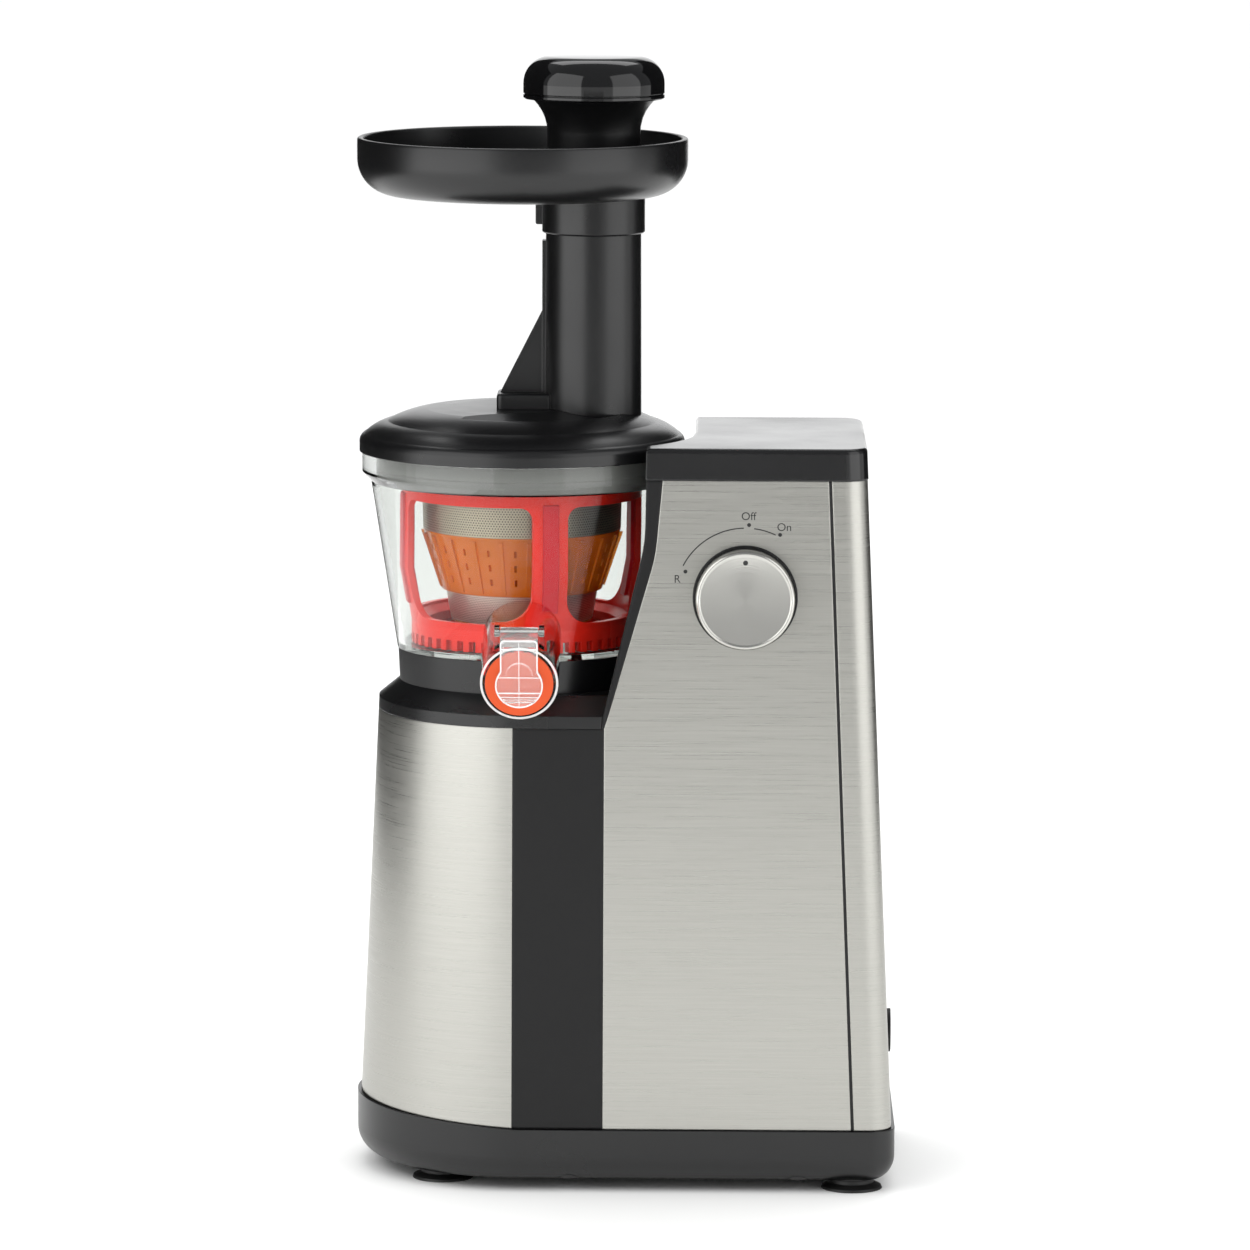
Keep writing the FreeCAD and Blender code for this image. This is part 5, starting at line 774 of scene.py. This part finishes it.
def turned_metal(name, colour, roughness, centre, pitch_mm, height_mm):
    """Metal turned on a lathe: grooves round its axis, and a highlight fanned about it.

    The distance is the length of the place seen from the axis, across the axis only, and a noise
    along it alone gives each groove its own depth. The brushing runs along that place crossed
    with the axis.
    """
    material, tree, shader, place = start_material(name, Base_Color=linear(colour), Metallic=1.0,
                                                   Roughness=roughness, Anisotropic=0.8)
    origin = np.array(centre) + (bowl_axis_x, 0, 0)
    lie = add_node(tree, "Mapping", inputs={"Vector": place,
                                            "Location": tuple((-origin * MM).tolist())})
    level = add_node(tree, "VectorMath", {"operation": "MULTIPLY"},
                     {0: lie.outputs["Vector"], 1: (1, 0, 1)})
    reach = add_node(tree, "VectorMath", {"operation": "LENGTH"}, {0: level.outputs["Vector"]})
    grooves = add_node(tree, "TexNoise", {"noise_dimensions": "1D"},
                       {"W": reach.outputs["Value"], "Scale": 1 / (pitch_mm * MM), "Detail": 2.0})
    soften(tree, shader, grooves.outputs["Fac"], height_mm, edge_mm=0.3)
    round_axis = add_node(tree, "VectorMath", {"operation": "CROSS_PRODUCT"},
                          {0: lie.outputs["Vector"], 1: tuple((-PANEL_OUT).tolist())})
    carried = add_node(tree, "VectorTransform", {
        "vector_type": "VECTOR", "convert_from": "OBJECT", "convert_to": "WORLD"},
        {"Vector": round_axis.outputs["Vector"]})
    tree.links.new(carried.outputs["Vector"], shader.inputs["Tangent"])
    return material


# turned aluminium: pale, with a fan of light about its middle. Real turning marks are finer, and
# 0.5 mm apart is as coarse as they need to be to show.
knob_metal = turned_metal("turned_aluminium", "#cbcac5", roughness=0.17, centre=KNOB_CENTRE,
                          pitch_mm=0.5, height_mm=0.006)
FACE_OUT = 11.0
# the knob's section (radius, out): its foot, its tapered side, the rounded rim and the face
knob_profile = [(3.0, 1.1), (18.9, 1.1), (19.2, 1.4), (19.2, 2.6), (18.75, 10.5), (18.5, 10.95),
                (17.95, 11.3), (17.6, 11.3), (17.2, FACE_OUT), (16.8, 10.95), (2.0, FACE_OUT),
                (0.0, FACE_OUT)]
add_piece("turned_knob", [lay_on(turned(knob_profile, TURN_STEPS), DIAL)], knob_metal,
          "knob_assembly", ["knob"], sharp=20)
POINTER_RADIUS = 14.4
POINTER_DOT = 0.95
add_piece("pointer_dot", [lay_on(dot(0, POINTER_RADIUS, POINTER_DOT, FACE_OUT + INK_LIFT), DIAL)],
          dial_ink, "knob_assembly")

# Floor: a wide sheet of board with pale matt paint, laid flat under the feet.
# It reaches far past the picture, so no edge of it shows.

FLOOR_REACH = 30.0
# matt paint: nearly white, with soft shadows and hardly a highlight
floor_paint = start_material("pale_floor_paint", Base_Color=linear("#f4f4f3"), Roughness=0.6)[0]


def add_sheet(name, corners, material):
    """One flat sheet through four corners in metres, which isn't part of the object."""
    mesh = bpy.data.meshes.new(name)
    mesh.from_pydata(corners, [], [(0, 1, 2, 3)])
    mesh.materials.append(material)
    sheet = bpy.data.objects.new(name, mesh)
    bpy.context.scene.collection.objects.link(sheet)
    return sheet


add_sheet("floor", [(x * FLOOR_REACH, y * FLOOR_REACH, 0)
                    for x, y in ((-1, -1), (1, -1), (1, 1), (-1, 1))], floor_paint)

# Lights: a wide softbox each side, one over the back edge and one behind, cloth flags that show
# in reflections only, and a soft sky overhead, white where it is seen and dimmer as a light.

WORLD_STRENGTH = 0.36
SEEN_STRENGTH = 1.1
FLAG_FOOT = 0.002
bpy.context.scene.view_settings.view_transform = "Standard"
world = bpy.data.worlds.new("studio")
bpy.context.scene.world = world
world.use_nodes = True
sky_tree = world.node_tree
background = sky_tree.nodes["Background"]
background.inputs["Color"].default_value = linear("#f2f4f6")
seen = add_node(sky_tree, "LightPath").outputs["Is Camera Ray"]
sky = add_node(sky_tree, "MapRange", inputs={"Value": seen, "To Min": WORLD_STRENGTH,
                                             "To Max": SEEN_STRENGTH})
sky_tree.links.new(sky.outputs["Result"], background.inputs["Strength"])


def add_light(name, data, place, aim):
    """A lamp turned to face a point of the object."""
    lamp = bpy.data.objects.new(name, data)
    bpy.context.scene.collection.objects.link(lamp)
    lamp.location = place
    lamp.rotation_euler = (Vector(aim) - Vector(place)).to_track_quat("-Z", "Y").to_euler()
    return lamp


def soft_panel(name, place, aim, width, length, radiance):
    """A rectangular softbox of even glow: its power is its radiance times pi times its area."""
    data = bpy.data.lights.new(name, "AREA")
    data.shape = "RECTANGLE"
    data.size = width
    data.size_y = length
    data.energy = radiance * pi * width * length
    lamp = add_light(name, data, place, aim)
    lamp.visible_camera = False
    return lamp


def spot_at(azimuth, distance, height):
    """A place at an angle left of the camera's side, in metres."""
    side = radians(azimuth)
    return Vector((-distance * sin(side), -distance * cos(side), height))


def softbox(name, azimuth, distance, width, low, high, radiance):
    """An upright softbox at an angle left of the camera's side, from one height to another."""
    middle = (low + high) / 2
    return soft_panel(name, spot_at(azimuth, distance, middle), (0, 0, middle), width,
                      high - low, radiance)


def flag(name, first, last, distance, height, cloth):
    """A cloth flag seen in reflections only, from one angle to another, just off the floor."""
    corners = [spot_at(first, distance, FLAG_FOOT), spot_at(last, distance, FLAG_FOOT),
               spot_at(last, distance, height), spot_at(first, distance, height)]
    sheet = add_sheet(name, corners, cloth)
    for ray in ("camera", "diffuse", "transmission", "shadow"):
        setattr(sheet, "visible_" + ray, False)


# matt cloth: it shows as a dark or a grey shape in the steel and the gloss
black_cloth = start_material("black_flag_cloth", Base_Color=linear("#050505"), Roughness=1.0)[0]
grey_cloth = start_material("grey_flag_cloth", Base_Color=linear("#b4b4b4"), Roughness=1.0)[0]
softbox("left_softbox", azimuth=50, distance=1.6, width=1.85, low=0.02, high=2.1, radiance=1.5)
softbox("right_softbox", azimuth=-56, distance=1.7, width=1.6, low=0.02, high=2.1, radiance=1.2)
flag("left_flag", first=88, last=165, distance=1.2, height=1.3, cloth=black_cloth)
flag("right_flag", first=-105, last=-165, distance=1.2, height=1.3, cloth=black_cloth)
flag("front_flag", first=-16, last=16, distance=1.5, height=0.35, cloth=grey_cloth)
soft_panel("rim_softbox", place=(0, 0.9, 1.9), aim=(0, 0, 0.4), width=1.6, length=0.7,
           radiance=2.2)
behind = softbox("back_softbox", azimuth=180, distance=2.6, width=2.2, low=0.15, high=1.6,
                 radiance=1.1)
behind.visible_diffuse = False
overhead = bpy.data.lights.new("overhead_sky", "SUN")
overhead.energy = 2.85
overhead.angle = radians(110)
sun = add_light("overhead_sky", overhead, place=(0, 0, 3), aim=(0, 0, 0))
sun.visible_glossy = False

# Camera: where the photo was taken from, a long lens 2.7 m in front of the bowl's axis,
# looking a little down.

CAMERA_PLACE = (72.85, -2717.5, 597.4)
LENS = 203.3
SENSOR_WIDTH = 36.0
PAN, TILT, ROLL = radians(0.69), radians(90 - 8.08), radians(0.23)
camera_data = bpy.data.cameras.new("photo_camera")
camera_data.lens = LENS
camera_data.sensor_width = SENSOR_WIDTH
camera = bpy.data.objects.new("photo_camera", camera_data)
bpy.context.scene.collection.objects.link(camera)
stand = Vector(CAMERA_PLACE) * MM + Vector((bowl_axis_x * MM, 0, 0))
camera.matrix_world = (Matrix.Translation(stand) @ Matrix.Rotation(PAN, 4, "Z")
                       @ Matrix.Rotation(TILT, 4, "X") @ Matrix.Rotation(ROLL, 4, "Z"))
bpy.context.scene.camera = camera
